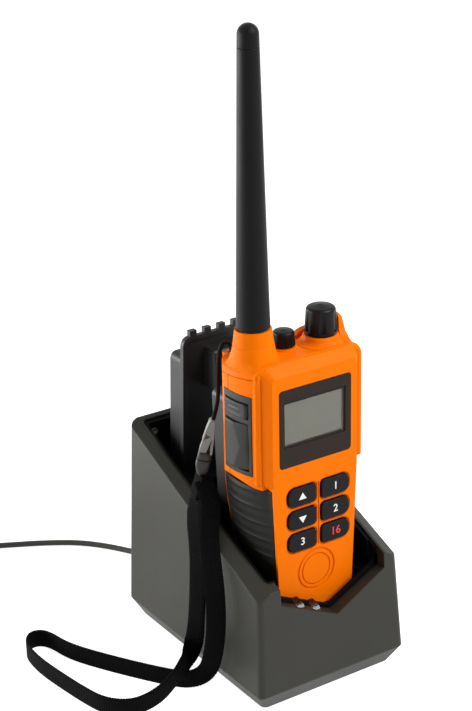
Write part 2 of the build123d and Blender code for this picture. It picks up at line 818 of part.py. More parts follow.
radio_pack_tab_z = radio_bottom_z + foot_bar_height + 0.4
latch_recess_low = radio_pack_tab_z + latch_start - slide_gap
tab_spots = [(index - (tab_count - 1) / 2) * tab_pitch for index in range(tab_count)]
ring_z = 65.9
ring_radii = (11.9, 10.8, 9.1, 8.5)
microphone_port_z = ring_z - (ring_radii[0] + ring_radii[1]) / 2

with BuildPart() as head_column_block:
    with BuildSketch(Plane.XZ.offset(-(face_y + head_chamfer_depth))):
        with Locations(*head_columns):
            Circle(column_radius)
    extrude(amount=-(back_y - face_y - head_chamfer_depth))
    add(head_block(0.6, head_edge_radius - 0.6), mode=Mode.INTERSECT)

# The whole casing in one piece, before it is parted into front shell, rear shell and top cap.
with BuildPart() as casing:
    add(body_outer)
    add(side_band, mode=Mode.SUBTRACT)
    add(body_block(grip_recess, radio_bottom_z, head_bottom_z + 1, face_y + 0.2, back_y - 0.2))
    add(head_outer)
    add(head_inner, mode=Mode.SUBTRACT)
    add(body_inner, mode=Mode.SUBTRACT)
    # columns for the case screws
    add(head_column_block.part)
    with BuildSketch(Plane.XZ.offset(-(face_y + 1.0))):
        with Locations(*body_columns):
            Circle(column_radius)
    extrude(amount=-(back_y - face_y - 2.0))
    # upright ribs beside the frame
    for side in (-1, 1):
        with Locations((side * rib_x, rib_y, (rib_bottom_z + rib_top_z) / 2)):
            Cylinder(rib_radius, rib_top_z - rib_bottom_z - 2 * rib_radius)
        with Locations(
            (side * rib_x, rib_y, rib_top_z - rib_radius), (side * rib_x, rib_y, rib_bottom_z + rib_radius),
        ):
            Sphere(rib_radius)
    # display opening and the bezel's recess
    with BuildSketch(Plane.XZ.offset(-face_y)):
        with Locations((0, (bezel_bottom_z + bezel_top_z) / 2)):
            RectangleRounded(
                2 * (bezel_half_width + seat_gap), bezel_top_z - bezel_bottom_z + 2 * seat_gap, 2 + seat_gap,
            )
    extrude(amount=-(bezel_thickness - bezel_proud), mode=Mode.SUBTRACT)
    with BuildSketch(Plane.XZ.offset(-face_y)):
        with Locations(((window_left_x + window_right_x) / 2, (window_bottom_z + window_top_z) / 2)):
            Rectangle(
                window_right_x - window_left_x - 2 * window_ledge, window_top_z - window_bottom_z - 2 * window_ledge,
            )
    extrude(amount=-5, mode=Mode.SUBTRACT)
    # side panel recess and the two button openings
    add(
        side_slab(
            6, panel_depth - panel_proud, panel_front_y - seat_gap, panel_rear_y + seat_gap,
            panel_bottom_z - seat_gap, panel_top_z + seat_gap,
        ),
        mode=Mode.SUBTRACT,
    )
    for low_z, high_z in ((ptt_bottom_z, ptt_top_z), (side_key_bottom_z, side_key_top_z)):
        add(
            side_slab(
                6, 6, ptt_front_y - slide_gap, ptt_rear_y + slide_gap, low_z - slide_gap, high_z + slide_gap,
            ),
            mode=Mode.SUBTRACT,
        )
    # round grooves over the loudspeaker
    with BuildSketch(Plane.XZ.offset(-face_y)):
        with Locations((0, ring_z)):
            Circle(ring_radii[0])
            Circle(ring_radii[1], mode=Mode.SUBTRACT)
            Circle(ring_radii[2])
            Circle(ring_radii[3], mode=Mode.SUBTRACT)
    extrude(amount=-0.6, mode=Mode.SUBTRACT)

key_holes = [key_shape(x, z, key_clearance) for x, z in key_spots]
key_wells = [key_shape(x, z, key_clearance + 0.7) for x, z in key_spots]

with BuildPart() as front_shell:
    add(casing.part)
    for well in key_wells:
        extrude(well, amount=-key_groove, mode=Mode.SUBTRACT)
    for hole in key_holes:
        extrude(hole, amount=-5, mode=Mode.SUBTRACT)
    with Locations(((key_left_x + key_right_x) / 2, face_y, (key_rows[0] + key_rows[-1]) / 2)):
        Box(1.0, 2 * key_groove, key_rows[0] - key_rows[-1] + key_height, mode=Mode.SUBTRACT)
    with Locations((0, split_y - seam_gap / 2 + 50, 140)):
        Box(200, 100, 260, mode=Mode.SUBTRACT)
    add(cap_region(reveal, cap_front_y - reveal), mode=Mode.SUBTRACT)
    with BuildSketch(Plane.XZ.offset(-split_y)):
        with Locations(*column_spots):
            Circle(case_screw_radius)
    extrude(amount=9, mode=Mode.SUBTRACT)
    # pegs that carry the main board, and the microphone's port
    with BuildSketch(Plane.XZ.offset(-(face_y + shell_wall - 0.4))):
        with Locations(*board_pegs):
            Circle(peg_radius)
    extrude(amount=-(main_board_y - face_y - shell_wall + 0.4))
    with BuildSketch(Plane.XZ.offset(-face_y)):
        with Locations((microphone_x, microphone_port_z)):
            Circle(0.5)
    extrude(amount=-3, mode=Mode.SUBTRACT)
save(front_shell, "front_shell")

with BuildPart() as rear_shell:
    add(casing.part)
    with Locations((0, split_y + seam_gap / 2 - 50, 140)):
        Box(200, 100, 260, mode=Mode.SUBTRACT)
    add(cap_region(reveal, cap_front_y - 30), mode=Mode.SUBTRACT)
    # recess for the battery's latch block
    with Locations((0, back_y - latch_depth / 2, latch_recess_low + latch_length / 2 + slide_gap)):
        Box(
            2 * (latch_half_width + 1.8), latch_depth + 2.6, latch_length + 2 * slide_gap + 3.6,
        )
        Box(
            2 * (latch_half_width + slide_gap), latch_depth + 1.0, latch_length + 2 * slide_gap,
            mode=Mode.SUBTRACT,
        )
    with Locations((0, back_y + 10, 100)):
        Box(80, 20, 120, mode=Mode.SUBTRACT)
    # bar at the foot, with a slot for each of the battery's tabs
    with Locations((0, back_y + foot_bar_depth / 2 - 0.2, radio_bottom_z + foot_bar_height / 2)):
        Box(2 * half_face(radio_bottom_z) - 2, foot_bar_depth + 0.4, foot_bar_height)
    slot_depth = plate_thickness + seat_gap + slide_gap
    for x in tab_spots:
        with Locations((x, back_y + slot_depth / 2, radio_bottom_z + foot_bar_height / 2)):
            Box(tab_width + 2 * slide_gap, slot_depth, foot_bar_height + 1, mode=Mode.SUBTRACT)
    with BuildSketch(Plane.XZ.offset(-split_y)):
        with Locations(*column_spots):
            Circle(case_screw_radius + seat_gap)
    extrude(amount=-20, mode=Mode.SUBTRACT)
    with BuildSketch(Plane.XZ.offset(-back_y)):
        with Locations(*column_spots):
            Circle(case_screw_head + seat_gap)
    extrude(amount=2.2, mode=Mode.SUBTRACT)
save(rear_shell, "rear_shell")


# The gasket lies between the two halves and stops short of the side panel, which has its own seal.
with BuildPart() as casing_gasket:
    add(casing.part)
    gasket_outer = 0.4
    gasket_inner = 1.6
    with BuildSketch(Plane.XZ.offset(-split_y)):
        Rectangle(200, 600)
    extrude(amount=seam_gap / 2, both=True, mode=Mode.INTERSECT)
    add(cap_region(reveal, cap_front_y - 30), mode=Mode.SUBTRACT)
    add(head_block(gasket_inner, head_edge_radius - gasket_inner), mode=Mode.SUBTRACT)
    add(
        body_block(
            body_inner_inset - gasket_outer, radio_bottom_z + gasket_inner, body_top_z + 6, face_y + 1, back_y - 1,
        ),
        mode=Mode.SUBTRACT,
    )
    with Locations((-head_half_width, split_y, (panel_bottom_z + panel_top_z) / 2)):
        Box(8, 4, panel_top_z - panel_bottom_z + 1.2, mode=Mode.SUBTRACT)
gasket_rim = body_block(
    grip_recess + gasket_outer, radio_bottom_z + gasket_outer, body_top_z, split_y - 1, split_y + 1,
)
with BuildPart() as gasket_limit:
    add(gasket_rim)
    add(head_block(gasket_outer, head_edge_radius - gasket_outer))
with BuildPart() as casing_seal:
    add(casing_gasket.part)
    add(gasket_limit.part, mode=Mode.INTERSECT)
save(casing_seal, "casing_gasket")

# ---- top cap with the antenna's cone, the knob bosses, the side fin, the rear guard and the lanyard eye ----
socket_radius = 5.0
socket_floor_z = 186.0
cone_top_z = antenna_seam_z - slide_gap
cone_foot_z = head_top_z - 1.5
cone_waist_radius = 10.7
cone_waist_z = head_top_z + 8.5
fin_inner_x = 29.8
fin_top_z = 194.8
guard_top_z = 185.9
boss_flare = 4.0
eye_x = -22.5
eye_y = -9.2
eye_low_z = 174.0
eye_top_z = 180.0
eye_hole_radius = 1.6

with BuildPart() as antenna_cone:
    with BuildSketch(Plane.XZ.offset(-antenna_y)):
        with BuildLine():
            Polyline(
                (antenna_x, cone_foot_z),
                (antenna_x + cone_flare_radius, cone_foot_z),
                (antenna_x + cone_flare_radius, head_top_z + 0.4),
            )
            ThreePointArc(
                (antenna_x + cone_flare_radius, head_top_z + 0.4),
                (antenna_x + cone_waist_radius + 0.8, head_top_z + 3.4),
                (antenna_x + cone_waist_radius, cone_waist_z),
            )
            Polyline(
                (antenna_x + cone_waist_radius, cone_waist_z),
                (antenna_x + cone_top_radius, cone_top_z),
                (antenna_x, cone_top_z),
                (antenna_x, cone_foot_z),
            )
        make_face()
    revolve(axis=Axis((antenna_x, antenna_y, 0), (0, 0, 1)))
    with BuildSketch(Plane.XY.offset(cone_foot_z)):
        with Locations((0, (cap_front_y + back_y) / 2)):
            Rectangle(100, back_y - cap_front_y - 0.6)
        for side in (-1, 1):
            with Locations((side * (head_half_width - side_radius), side_centre_y)):
                Circle(side_radius - 0.3, mode=Mode.INTERSECT)
    extrude(amount=60, mode=Mode.INTERSECT)

# The fin beside the volume knob: a leaning wall whose side view sweeps up from the cap's edge.
with BuildPart() as side_fin:
    with BuildSketch(Plane.XZ.offset(-cap_front_y)):
        with BuildLine():
            Polyline(
                (fin_inner_x - 1.2, head_top_z - 1),
                (head_half_width, head_top_z - 1),
                (head_half_width - 1.2, head_top_z + 3),
                (fin_inner_x + 2.6, fin_top_z - 1.5),
                (fin_inner_x + 1.7, fin_top_z),
                (fin_inner_x + 0.4, fin_top_z - 0.8),
                (fin_inner_x - 0.4, head_top_z + 3),
                close=True,
            )
        make_face()
    extrude(amount=-40)
    with BuildSketch(Plane.YZ.offset(fin_inner_x - 4)):
        with BuildLine():
            Polyline((-40.0, head_top_z - 1), (-40.0, head_top_z + 0.2), (-36.0, head_top_z + 0.6))
            ThreePointArc((-36.0, head_top_z + 0.6), (-32.2, head_top_z + 2.8), (-30.4, head_top_z + 7.0))
            Line((-30.4, head_top_z + 7.0), (-29.7, fin_top_z - 3.0))
            ThreePointArc((-29.7, fin_top_z - 3.0), (-28.7, fin_top_z - 0.9), (-26.8, fin_top_z))
            Line((-26.8, fin_top_z), (-22.0, fin_top_z))
            ThreePointArc((-22.0, fin_top_z), (-18.6, fin_top_z - 1.6), (-17.2, fin_top_z - 5.0))
            Polyline((-17.2, fin_top_z - 5.0), (-15.0, head_top_z - 1), (-40.0, head_top_z - 1))
        make_face()
    extrude(amount=12, mode=Mode.INTERSECT)
    with BuildSketch(Plane.XY.offset(head_top_z - 1)):
        with Locations((head_half_width - side_radius, side_centre_y)):
            Circle(side_radius - 0.4)
    extrude(amount=40, mode=Mode.INTERSECT)

# The boss under the volume knob runs out into the cap in a wide curve.
with BuildPart() as volume_boss:
    boss_edge = volume_x + volume_radius + 0.8
    boss_top_z = head_top_z + boss_height
    with BuildSketch(Plane.XZ.offset(-volume_y)):
        with BuildLine():
            Polyline(
                (boss_edge, boss_top_z - 0.8), (boss_edge - 0.7, boss_top_z), (volume_x, boss_top_z),
                (volume_x, head_top_z - 1), (boss_edge + boss_flare, head_top_z - 1),
                (boss_edge + boss_flare, head_top_z + 0.2),
            )
            ThreePointArc(
                (boss_edge + boss_flare, head_top_z + 0.2),
                (boss_edge + 0.3 * boss_flare, head_top_z + 0.34 * boss_height),
                (boss_edge, boss_top_z - 0.8),
            )
        make_face()
    revolve(axis=Axis((volume_x, volume_y, 0), (0, 0, 1)))
    with BuildSketch(Plane.XY.offset(head_top_z - 1)):
        with Locations((head_half_width - side_radius, side_centre_y)):
            Circle(side_radius - 0.4)
    extrude(amount=20, mode=Mode.INTERSECT)

with BuildPart() as top_cap:
    add(casing.part)
    add(cap_region(0, cap_front_y), mode=Mode.INTERSECT)
    add(antenna_cone.part)
    add(volume_boss.part)
    with BuildSketch(Plane.XY.offset(head_top_z - 1)):
        with Locations((channel_x, channel_y)):
            Circle(channel_radius + 0.8)
    extrude(amount=channel_boss_height + 1)
    add(side_fin.part)
    with BuildSketch(Plane.XZ.offset(-(back_y - 5.2))):
        with BuildLine():
            Polyline(
                (22.0, guard_top_z), (fin_inner_x + 1.9, guard_top_z), (fin_inner_x + 1.9, head_top_z - 1),
                (9.5, head_top_z - 1), (9.5, head_top_z),
            )
            ThreePointArc((9.5, head_top_z), (14.6, head_top_z + 3.4), (22.0, guard_top_z))
        make_face()
    extrude(amount=-3.6)
    with Locations((eye_x, (back_y - 1 + eye_y + 3.2) / 2, (eye_low_z + eye_top_z) / 2)):
        Box(7, eye_y + 3.2 - back_y + 1, eye_top_z - eye_low_z)
    with Locations((eye_x, eye_y, eye_low_z)):
        Cylinder(eye_hole_radius, 30, mode=Mode.SUBTRACT)
    with BuildSketch(Plane.XY.offset(socket_floor_z)):
        with Locations((antenna_x, antenna_y)):
            Circle(socket_radius + seat_gap)
    extrude(amount=30, mode=Mode.SUBTRACT)
    with BuildSketch(Plane.XY.offset(head_top_z - 6)):
        with Locations((antenna_x, antenna_y)):
            Circle(2)
        with Locations((volume_x, volume_y), (channel_x, channel_y)):
            Circle(shaft_radius + seat_gap)
    extrude(amount=14, mode=Mode.SUBTRACT)
save(top_cap, "top_cap")

with BuildPart() as antenna_socket:
    with BuildSketch(Plane.XY.offset(socket_floor_z)):
        with Locations((antenna_x, antenna_y)):
            Circle(socket_radius)
    extrude(amount=antenna_seam_z - slide_gap - 0.2 - socket_floor_z)
    with BuildSketch(Plane.XY.offset(antenna_seam_z - stud_length - 1)):
        with Locations((antenna_x, antenna_y)):
            Circle(stud_radius + shaft_clearance)
    extrude(amount=20, mode=Mode.SUBTRACT)
save(antenna_socket, "antenna_socket")

tip_seam_z = 341.0
with BuildPart() as antenna:
    with BuildSketch(Plane.XZ.offset(-antenna_y)):
        with BuildLine():
            Polyline(
                (antenna_x, antenna_seam_z - stud_length),
                (antenna_x + stud_radius, antenna_seam_z - stud_length),
                (antenna_x + stud_radius, antenna_seam_z),
                (antenna_x + antenna_base_radius - 0.5, antenna_seam_z),
                (antenna_x + antenna_base_radius, antenna_seam_z + 0.5),
                (antenna_x + antenna_tip_radius + 0.16, tip_seam_z - 0.3),
                (antenna_x + antenna_tip_radius - 0.2, tip_seam_z),
                (antenna_x + antenna_tip_radius + 0.15, tip_seam_z + 0.3),
                (antenna_x + antenna_tip_radius, antenna_tip_z),
            )
            CenterArc((antenna_x, antenna_tip_z), antenna_tip_radius, 0, 90)
            Line((antenna_x, antenna_tip_z + antenna_tip_radius), (antenna_x, antenna_seam_z - stud_length))
        make_face()
    revolve(axis=Axis((antenna_x, antenna_y, 0), (0, 0, 1)))
save(antenna, "antenna")

# ---- knobs and the rotary controls under them ----
volume_low_z = head_top_z + boss_height + knob_lift
channel_low_z = head_top_z + channel_boss_height + knob_lift
bore_share = 0.6


def fluted_knob(x, y, low_z, height, radius, flutes, flute_radius, flute_depth):
    """A domed knob with flutes round its side and a blind bore for its shaft."""
    rounding = 0.24 * radius
    dome = 0.07 * height
    shoulder = radius - 0.05 * height
    top_z = low_z + height
    with BuildPart() as knob:
        with BuildSketch(Plane.XZ.offset(-y)):
            with BuildLine():
                Polyline(
                    (x, top_z),
                    (x, low_z),
                    (x + radius - 0.5, low_z),
                    (x + radius, low_z + 0.5),
                    (x + shoulder, top_z - rounding - dome),
                )
                ThreePointArc(
                    (x + shoulder, top_z - rounding - dome),
                    (x + shoulder - 0.3 * rounding, top_z - 0.3 * rounding - dome),
                    (x + shoulder - rounding, top_z - dome),
                )
                Line((x + shoulder - rounding, top_z - dome), (x, top_z))
            make_face()
        revolve(axis=Axis((x, y, 0), (0, 0, 1)))
        with BuildSketch(Plane.XY.offset(low_z + 0.12 * height)):
            with Locations((x, y)):
                with PolarLocations(radius + flute_radius - flute_depth, flutes):
                    Circle(flute_radius)
        extrude(amount=height, mode=Mode.SUBTRACT)
        with BuildSketch(Plane.XY.offset(low_z)):
            with Locations((x, y)):
                Circle(shaft_radius + shaft_clearance)
        extrude(amount=bore_share * height, mode=Mode.SUBTRACT)
    return knob


volume_knob = fluted_knob(volume_x, volume_y, volume_low_z, volume_height, volume_radius, 6, 3.4, 1.0)
save(volume_knob, "volume_knob")
channel_knob = fluted_knob(channel_x, channel_y, channel_low_z, channel_height, channel_radius, 12, 1.1, 0.5)
save(channel_knob, "channel_knob")

pot_height = 8.0
pot_top_z = head_top_z - shell_wall - seat_gap
with BuildPart() as control_pots:
    for x, y, side, low_z, height in (
        (volume_x, volume_y, 13, volume_low_z, volume_height),
        (channel_x, channel_y, 10, channel_low_z, channel_height),
    ):
        with BuildSketch(Plane.XY.offset(pot_top_z - pot_height)):
            with Locations((x, y)):
                RectangleRounded(side, side, 1)
        extrude(amount=pot_height)
        with BuildSketch(Plane.XY.offset(pot_top_z)):
            with Locations((x, y)):
                Circle(shaft_radius)
        extrude(amount=low_z + bore_share * height - 0.3 - pot_top_z)
save(control_pots, "control_pots")

# ---- display ----
window_x = (window_left_x + window_right_x) / 2
window_z = (window_bottom_z + window_top_z) / 2
window_width = window_right_x - window_left_x
window_height = window_top_z - window_bottom_z
bezel_seat_y = face_y + bezel_thickness - bezel_proud

with BuildPart() as display_bezel:
    with BuildSketch(Plane.XZ.offset(-bezel_seat_y)):
        with Locations((0, (bezel_bottom_z + bezel_top_z) / 2)):
            RectangleRounded(2 * bezel_half_width, bezel_top_z - bezel_bottom_z, 2)
        with Locations((window_x, window_z)):
            Rectangle(window_width + 2 * seat_gap, window_height + 2 * seat_gap, mode=Mode.SUBTRACT)
    extrude(amount=bezel_thickness)
save(display_bezel, "display_bezel")

with BuildPart() as display_window:
    with BuildSketch(Plane.XZ.offset(-bezel_seat_y)):
        with Locations((window_x, window_z)):
            Rectangle(window_width, window_height)
    extrude(amount=window_thickness)
save(display_window, "display_window")

lcd_front_y = face_y + shell_wall + seat_gap
with BuildPart() as lcd_module:
    with BuildSketch(Plane.XZ.offset(-lcd_front_y)):
        with Locations((window_x, window_z)):
            RectangleRounded(window_width + 1, window_height + 4, 1)
    extrude(amount=-(main_board_y - lcd_front_y))
save(lcd_module, "lcd_module")

# ---- keypad ----
key_names = ("key_up", "key_squelch", "key_down", "key_scan", "key_high_low", "key_call")
for (key_x, key_z), key_name in zip(key_spots, key_names):
    with BuildPart() as key:
        extrude(key_shape(key_x, key_z, 0), amount=key_proud)
        extrude(key_shape(key_x, key_z, 0), amount=-(key_depth - key_proud))
        top_face = key.faces().sort_by(Axis.Y)[0]
        fillet(top_face.edges(), 0.6)
    save(key, key_name)

mat_front_y = face_y + shell_wall + seat_gap
mat_thickness = 1.2
mat_low_z = key_rows[-1] - key_height / 2 - 2
mat_top_z = key_rows[0] + key_height / 2 + 1.5
with BuildPart() as keypad_mat:
    with BuildSketch(Plane.XZ.offset(-mat_front_y)):
        with Locations(((key_left_x + key_right_x) / 2, (mat_low_z + mat_top_z) / 2)):
            Rectangle(key_right_x - key_left_x + key_width, mat_top_z - mat_low_z)
    extrude(amount=-mat_thickness)
    # one round actuator behind each key reaches the board
    with BuildSketch(Plane.XZ.offset(-(mat_front_y + mat_thickness))):
        with Locations(*key_spots):
            Circle(2.5)
    extrude(amount=-(main_board_y - mat_front_y - mat_thickness))
save(keypad_mat, "keypad_mat")

# ---- side panel, talk button and side button ----
with BuildPart() as side_panel:
    add(
        side_slab(
            panel_proud, panel_depth - panel_proud, panel_front_y, panel_rear_y, panel_bottom_z, panel_top_z,
        )
    )
    fillet(side_panel.edges().filter_by(Axis.X), 0.5)
    for low_z, high_z in ((ptt_bottom_z, ptt_top_z), (side_key_bottom_z, side_key_top_z)):
        add(
            side_slab(
                6, 6, ptt_front_y - slide_gap, ptt_rear_y + slide_gap, low_z - slide_gap, high_z + slide_gap,
            ),
            mode=Mode.SUBTRACT,
        )
save(side_panel, "side_panel")

flange_lip = 1.0
flange_thickness = 0.8
flange_depth = shell_wall + slide_gap
for button_name, low_z, high_z in (
    ("ptt_button", ptt_bottom_z, ptt_top_z), ("side_button", side_key_bottom_z, side_key_top_z),
):
    with BuildPart() as side_push_button:
        add(side_slab(side_button_proud, flange_depth, ptt_front_y, ptt_rear_y, low_z, high_z))
        fillet(side_push_button.edges().filter_by(Axis.X), 1.5)
        chamfer(side_push_button.faces().sort_by(Axis.X)[0].edges(), 0.7)
        add(
            side_slab(
                -flange_depth, flange_depth + flange_thickness, ptt_front_y - flange_lip, ptt_rear_y + flange_lip,
                low_z - flange_lip, high_z + flange_lip,
            )
        )
    save(side_push_button, button_name)

# ---- rubber grips in the side recesses ----
for grip_name, side in (("grip_left", -1), ("grip_right", 1)):
    with BuildPart() as grip:
        grip_front_y = face_y + grip_front_margin + seat_gap
        grip_rear_y = back_y - grip_rear_margin - seat_gap
        grip_low_z = radio_bottom_z + 1.0
        grip_top_z = head_bottom_z - seat_gap
        add(body_block(-grip_proud, grip_low_z, grip_top_z, grip_front_y, grip_rear_y))
        add(
            body_block(grip_recess - seat_gap, grip_low_z - 5, grip_top_z + 5, grip_front_y - 5, grip_rear_y + 5),
            mode=Mode.SUBTRACT,
        )
        with Locations((-side * 50, split_y, 80)):
            Box(100, 100, 200, mode=Mode.SUBTRACT)
        outer_face = grip.faces().sort_by(Axis.X)[0 if side < 0 else -1]
        chamfer(outer_face.edges(), 1.0)
        ridge_pitch = 9.1
        for index in range(grip_ridges):
            groove_z = 108.0 - index * ridge_pitch
            with Locations((side * (half_face(groove_z) + grip_proud), (grip_front_y + grip_rear_y) / 2, groove_z)):
                Box(2 * ridge_depth, grip_rear_y - grip_front_y - 8, 5.0, mode=Mode.SUBTRACT)
    save(grip, grip_name)

# ---- inside the casing ----
main_board_thickness = 1.5
board_half_width = 15.0
board_head_width = 44.0
board_low_z = radio_bottom_z + 12.0
board_top_z = bezel_top_z - 1.8
with BuildPart() as main_board:
    with BuildSketch(Plane.XZ.offset(-main_board_y)):
        with Locations((0, (board_low_z + board_top_z) / 2)):
            Rectangle(2 * board_half_width, board_top_z - board_low_z)
        with Locations((0, (bezel_bottom_z - 1.0 + board_top_z) / 2)):
            Rectangle(board_head_width, board_top_z - bezel_bottom_z + 1.0)
        with Locations((0, (mat_low_z + mat_top_z) / 2)):
            Rectangle(40, mat_top_z - mat_low_z)
    extrude(amount=-main_board_thickness)
    # screening cans on the back of the board
    for x, z, width, height, depth in ((0, 150, 34, 26, 4), (0, 102, 26, 30, 3.5), (-4, 68, 16, 14, 3)):
        with BuildSketch(Plane.XZ.offset(-(main_board_y + main_board_thickness))):
            with Locations((x, z)):
                RectangleRounded(width, height, 1)
        extrude(amount=-depth)
save(main_board, "main_board")

speaker_radius = 10.5
speaker_depth = 5.0
inner_face_y = face_y + shell_wall
with BuildPart() as loudspeaker:
    with BuildSketch(Plane.XZ.offset(-(inner_face_y + seat_gap))):
        with Locations((0, ring_z)):
            Circle(speaker_radius)
    extrude(amount=-2.0)
    with BuildSketch(Plane.XZ.offset(-(inner_face_y + seat_gap + 2.0))):
        with Locations((0, ring_z)):
            Circle(speaker_radius - 4)
    extrude(amount=-(speaker_depth - 2.0))
save(loudspeaker, "loudspeaker")

with BuildPart() as microphone:
    with BuildSketch(Plane.XZ.offset(-(inner_face_y + seat_gap))):
        with Locations((microphone_x, microphone_z)):
            Circle(2.5)
    extrude(amount=-3)
save(microphone, "microphone")

with BuildPart() as case_screws:
    seat_y = back_y - 2.2
    with BuildSketch(Plane.XZ.offset(-seat_y)):
        with Locations(*column_spots):
            Circle(case_screw_head)
    extrude(amount=-1.6)
    with BuildSketch(Plane.XZ.offset(-seat_y)):
        with Locations(*column_spots):
            Circle(case_screw_radius)
    extrude(amount=seat_y - split_y + 7)
    with BuildSketch(Plane.XZ.offset(-(seat_y + 1.6))):
        with Locations(*column_spots):
            RegularPolygon(1.1, 6)
    extrude(amount=1.0, mode=Mode.SUBTRACT)
save(case_screws, "case_screws")


# ---- battery packs: the radio's own hangs tabs down, the spare stands tabs up ----
def pack_block(tab_z, up, start, end, inset, front, depth, rounding):
    """A tapered slab of a pack between two distances from its tabbed end."""
    near = pack_half_width + pack_taper * start - inset
    far = pack_half_width + pack_taper * end - inset
    with BuildPart() as block:
        with BuildSketch(Plane.XZ.offset(-front)) as outline:
            with BuildLine():
                Polyline(
                    (-near, tab_z - up * start),
                    (near, tab_z - up * start),
                    (far, tab_z - up * end),
                    (-far, tab_z - up * end),
                    close=True,
                )
            make_face()
            fillet(outline.vertices(), rounding)
        extrude(amount=-depth)
    return block.part


case_inset = 1.0
for pack_name, tab_z, up, plate_y in (
    ("radio_battery", radio_pack_tab_z, -1, back_y + seat_gap), ("spare_battery", spare_top_z, 1, spare_plate_y),
):
    case_y = plate_y + plate_thickness
    with BuildPart() as pack_plate:
        add(pack_block(tab_z, up, 0, pack_length, 0, plate_y, plate_thickness, 5))
        add(
            pack_block(
                tab_z, up, plate_rim, pack_length - plate_rim, plate_rim, plate_y - 1, plate_recess + 1, 3,
            ),
            mode=Mode.SUBTRACT,
        )
        for x in tab_spots:
            with Locations((x, plate_y + plate_thickness / 2, tab_z + up * (tab_height - 1) / 2)):
                Box(tab_width, plate_thickness, tab_height + 1)
    save(pack_plate, f"{pack_name}_plate")

    with BuildPart() as pack_case:
        add(pack_block(tab_z, up, case_start, pack_length - 2, case_inset, case_y, case_depth, 4))
        chamfer(pack_case.faces().sort_by(Axis.Y)[-1].edges(), 1.2)
        add(
            pack_block(
                tab_z, up, case_start + case_wall, pack_length - 2 - case_wall, case_inset + case_wall,
                case_y, case_depth - case_wall, 2.4,
            ),
            mode=Mode.SUBTRACT,
        )
    save(pack_case, f"{pack_name}_case")

    with BuildPart() as pack_cells:
        cell_inset = case_inset + case_wall + 1.0
        cell_start = case_start + case_wall + 2.0
        cell_length = (pack_length - 2 - case_wall - cell_start - 4.0) / 2
        for start in (cell_start, cell_start + cell_length + 2.0):
            add(
                pack_block(
                    tab_z, up, start, start + cell_length, cell_inset, case_y + seat_gap,
                    case_depth - case_wall - 2 * seat_gap, 3,
                )
            )
    save(pack_cells, f"{pack_name}_cells")

    with BuildPart() as pack_latch:
        latch_z = tab_z - up * (latch_start + latch_length / 2)
        with Locations((0, plate_y + (plate_recess - latch_depth) / 2, latch_z)):
            Box(2 * latch_half_width, latch_depth + plate_recess, latch_length)
        fillet(pack_latch.edges().filter_by(Axis.Y), 1.5)
        chamfer(pack_latch.faces().sort_by(Axis.Y)[0].edges(), 1.0)
        # the catch's window, open towards the front
        with Locations((0, plate_y - latch_depth, latch_z - 1.0)):
            Box(2 * latch_half_width - 6.4, 2 * (latch_depth - 2.0), latch_length - 8.0, mode=Mode.SUBTRACT)
    save(pack_latch, f"{pack_name}_latch")

# ---- belt clip on the head's back ----
clip_half_width = 11.0
ear_thickness = 2.5
clip_pin_y = 8.0
clip_pin_radius = 1.5
bracket_low_z = radio_pack_tab_z + pack_length + 1.6
bracket_top_z = bracket_low_z + 11.0
clip_pin_z = bracket_low_z + 5.4
ear_radius = 3.4
hub_radius = 3.0
arm_half_width = clip_half_width - ear_thickness - slide_gap
arm_thickness = 2.2
arm_low_z = clip_pin_z - 65.0
thumb_top_z = clip_pin_z + 10.0
spring_half_length = 3.0
bracket_back_y = 3.4

with BuildPart() as belt_clip_bracket:
    with Locations((0, (back_y + seat_gap + bracket_back_y) / 2, (bracket_low_z + bracket_top_z) / 2)):
        Box(2 * clip_half_width, bracket_back_y - back_y - seat_gap, bracket_top_z - bracket_low_z)
    fillet(belt_clip_bracket.edges().filter_by(Axis.Y), 1.5)
    for x in (-clip_half_width, clip_half_width - ear_thickness):
        with BuildSketch(Plane.YZ.offset(x)):
            with BuildLine():
                Polyline(
                    (clip_pin_y, clip_pin_z + ear_radius),
                    (bracket_back_y - 1, bracket_top_z - 1.6),
                    (bracket_back_y - 1, bracket_low_z + 1.6),
                    (clip_pin_y, clip_pin_z - ear_radius),
                )
                CenterArc((clip_pin_y, clip_pin_z), ear_radius, -90, 180)
            make_face()
        extrude(amount=ear_thickness)
    with Locations((0, clip_pin_y, clip_pin_z)):
        Cylinder(clip_pin_radius + shaft_clearance, 40, rotation=(0, 90, 0), mode=Mode.SUBTRACT)
save(belt_clip_bracket, "belt_clip_bracket")

with BuildPart() as belt_clip_pin:
    with Locations((0, clip_pin_y, clip_pin_z)):
        Cylinder(clip_pin_radius, 2 * clip_half_width + 0.6, rotation=(0, 90, 0))
save(belt_clip_pin, "belt_clip_pin")

with BuildPart() as belt_clip_arm:
    with BuildSketch(Plane.YZ.offset(-arm_half_width)):
        with BuildLine():
            Polyline(
                (clip_pin_y - arm_thickness / 2, thumb_top_z),
                (clip_pin_y - arm_thickness / 2, arm_low_z + 4.0),
                (clip_pin_y - arm_thickness / 2 - 1.6, arm_low_z + 2.0),
                (clip_pin_y - arm_thickness / 2 - 0.8, arm_low_z),
                (clip_pin_y + arm_thickness / 2, arm_low_z + 1.0),
                (clip_pin_y + arm_thickness / 2, thumb_top_z),
                close=True,
            )
        make_face()
        with Locations((clip_pin_y, clip_pin_z)):
            Circle(hub_radius)
    extrude(amount=2 * arm_half_width)
    with Locations((0, clip_pin_y, clip_pin_z)):
        Cylinder(clip_pin_radius + shaft_clearance, 40, rotation=(0, 90, 0), mode=Mode.SUBTRACT)
        Box(2 * spring_half_length + 2 * slide_gap, 3 * hub_radius, 2 * hub_radius + 1.4, mode=Mode.SUBTRACT)
save(belt_clip_arm, "belt_clip_arm")

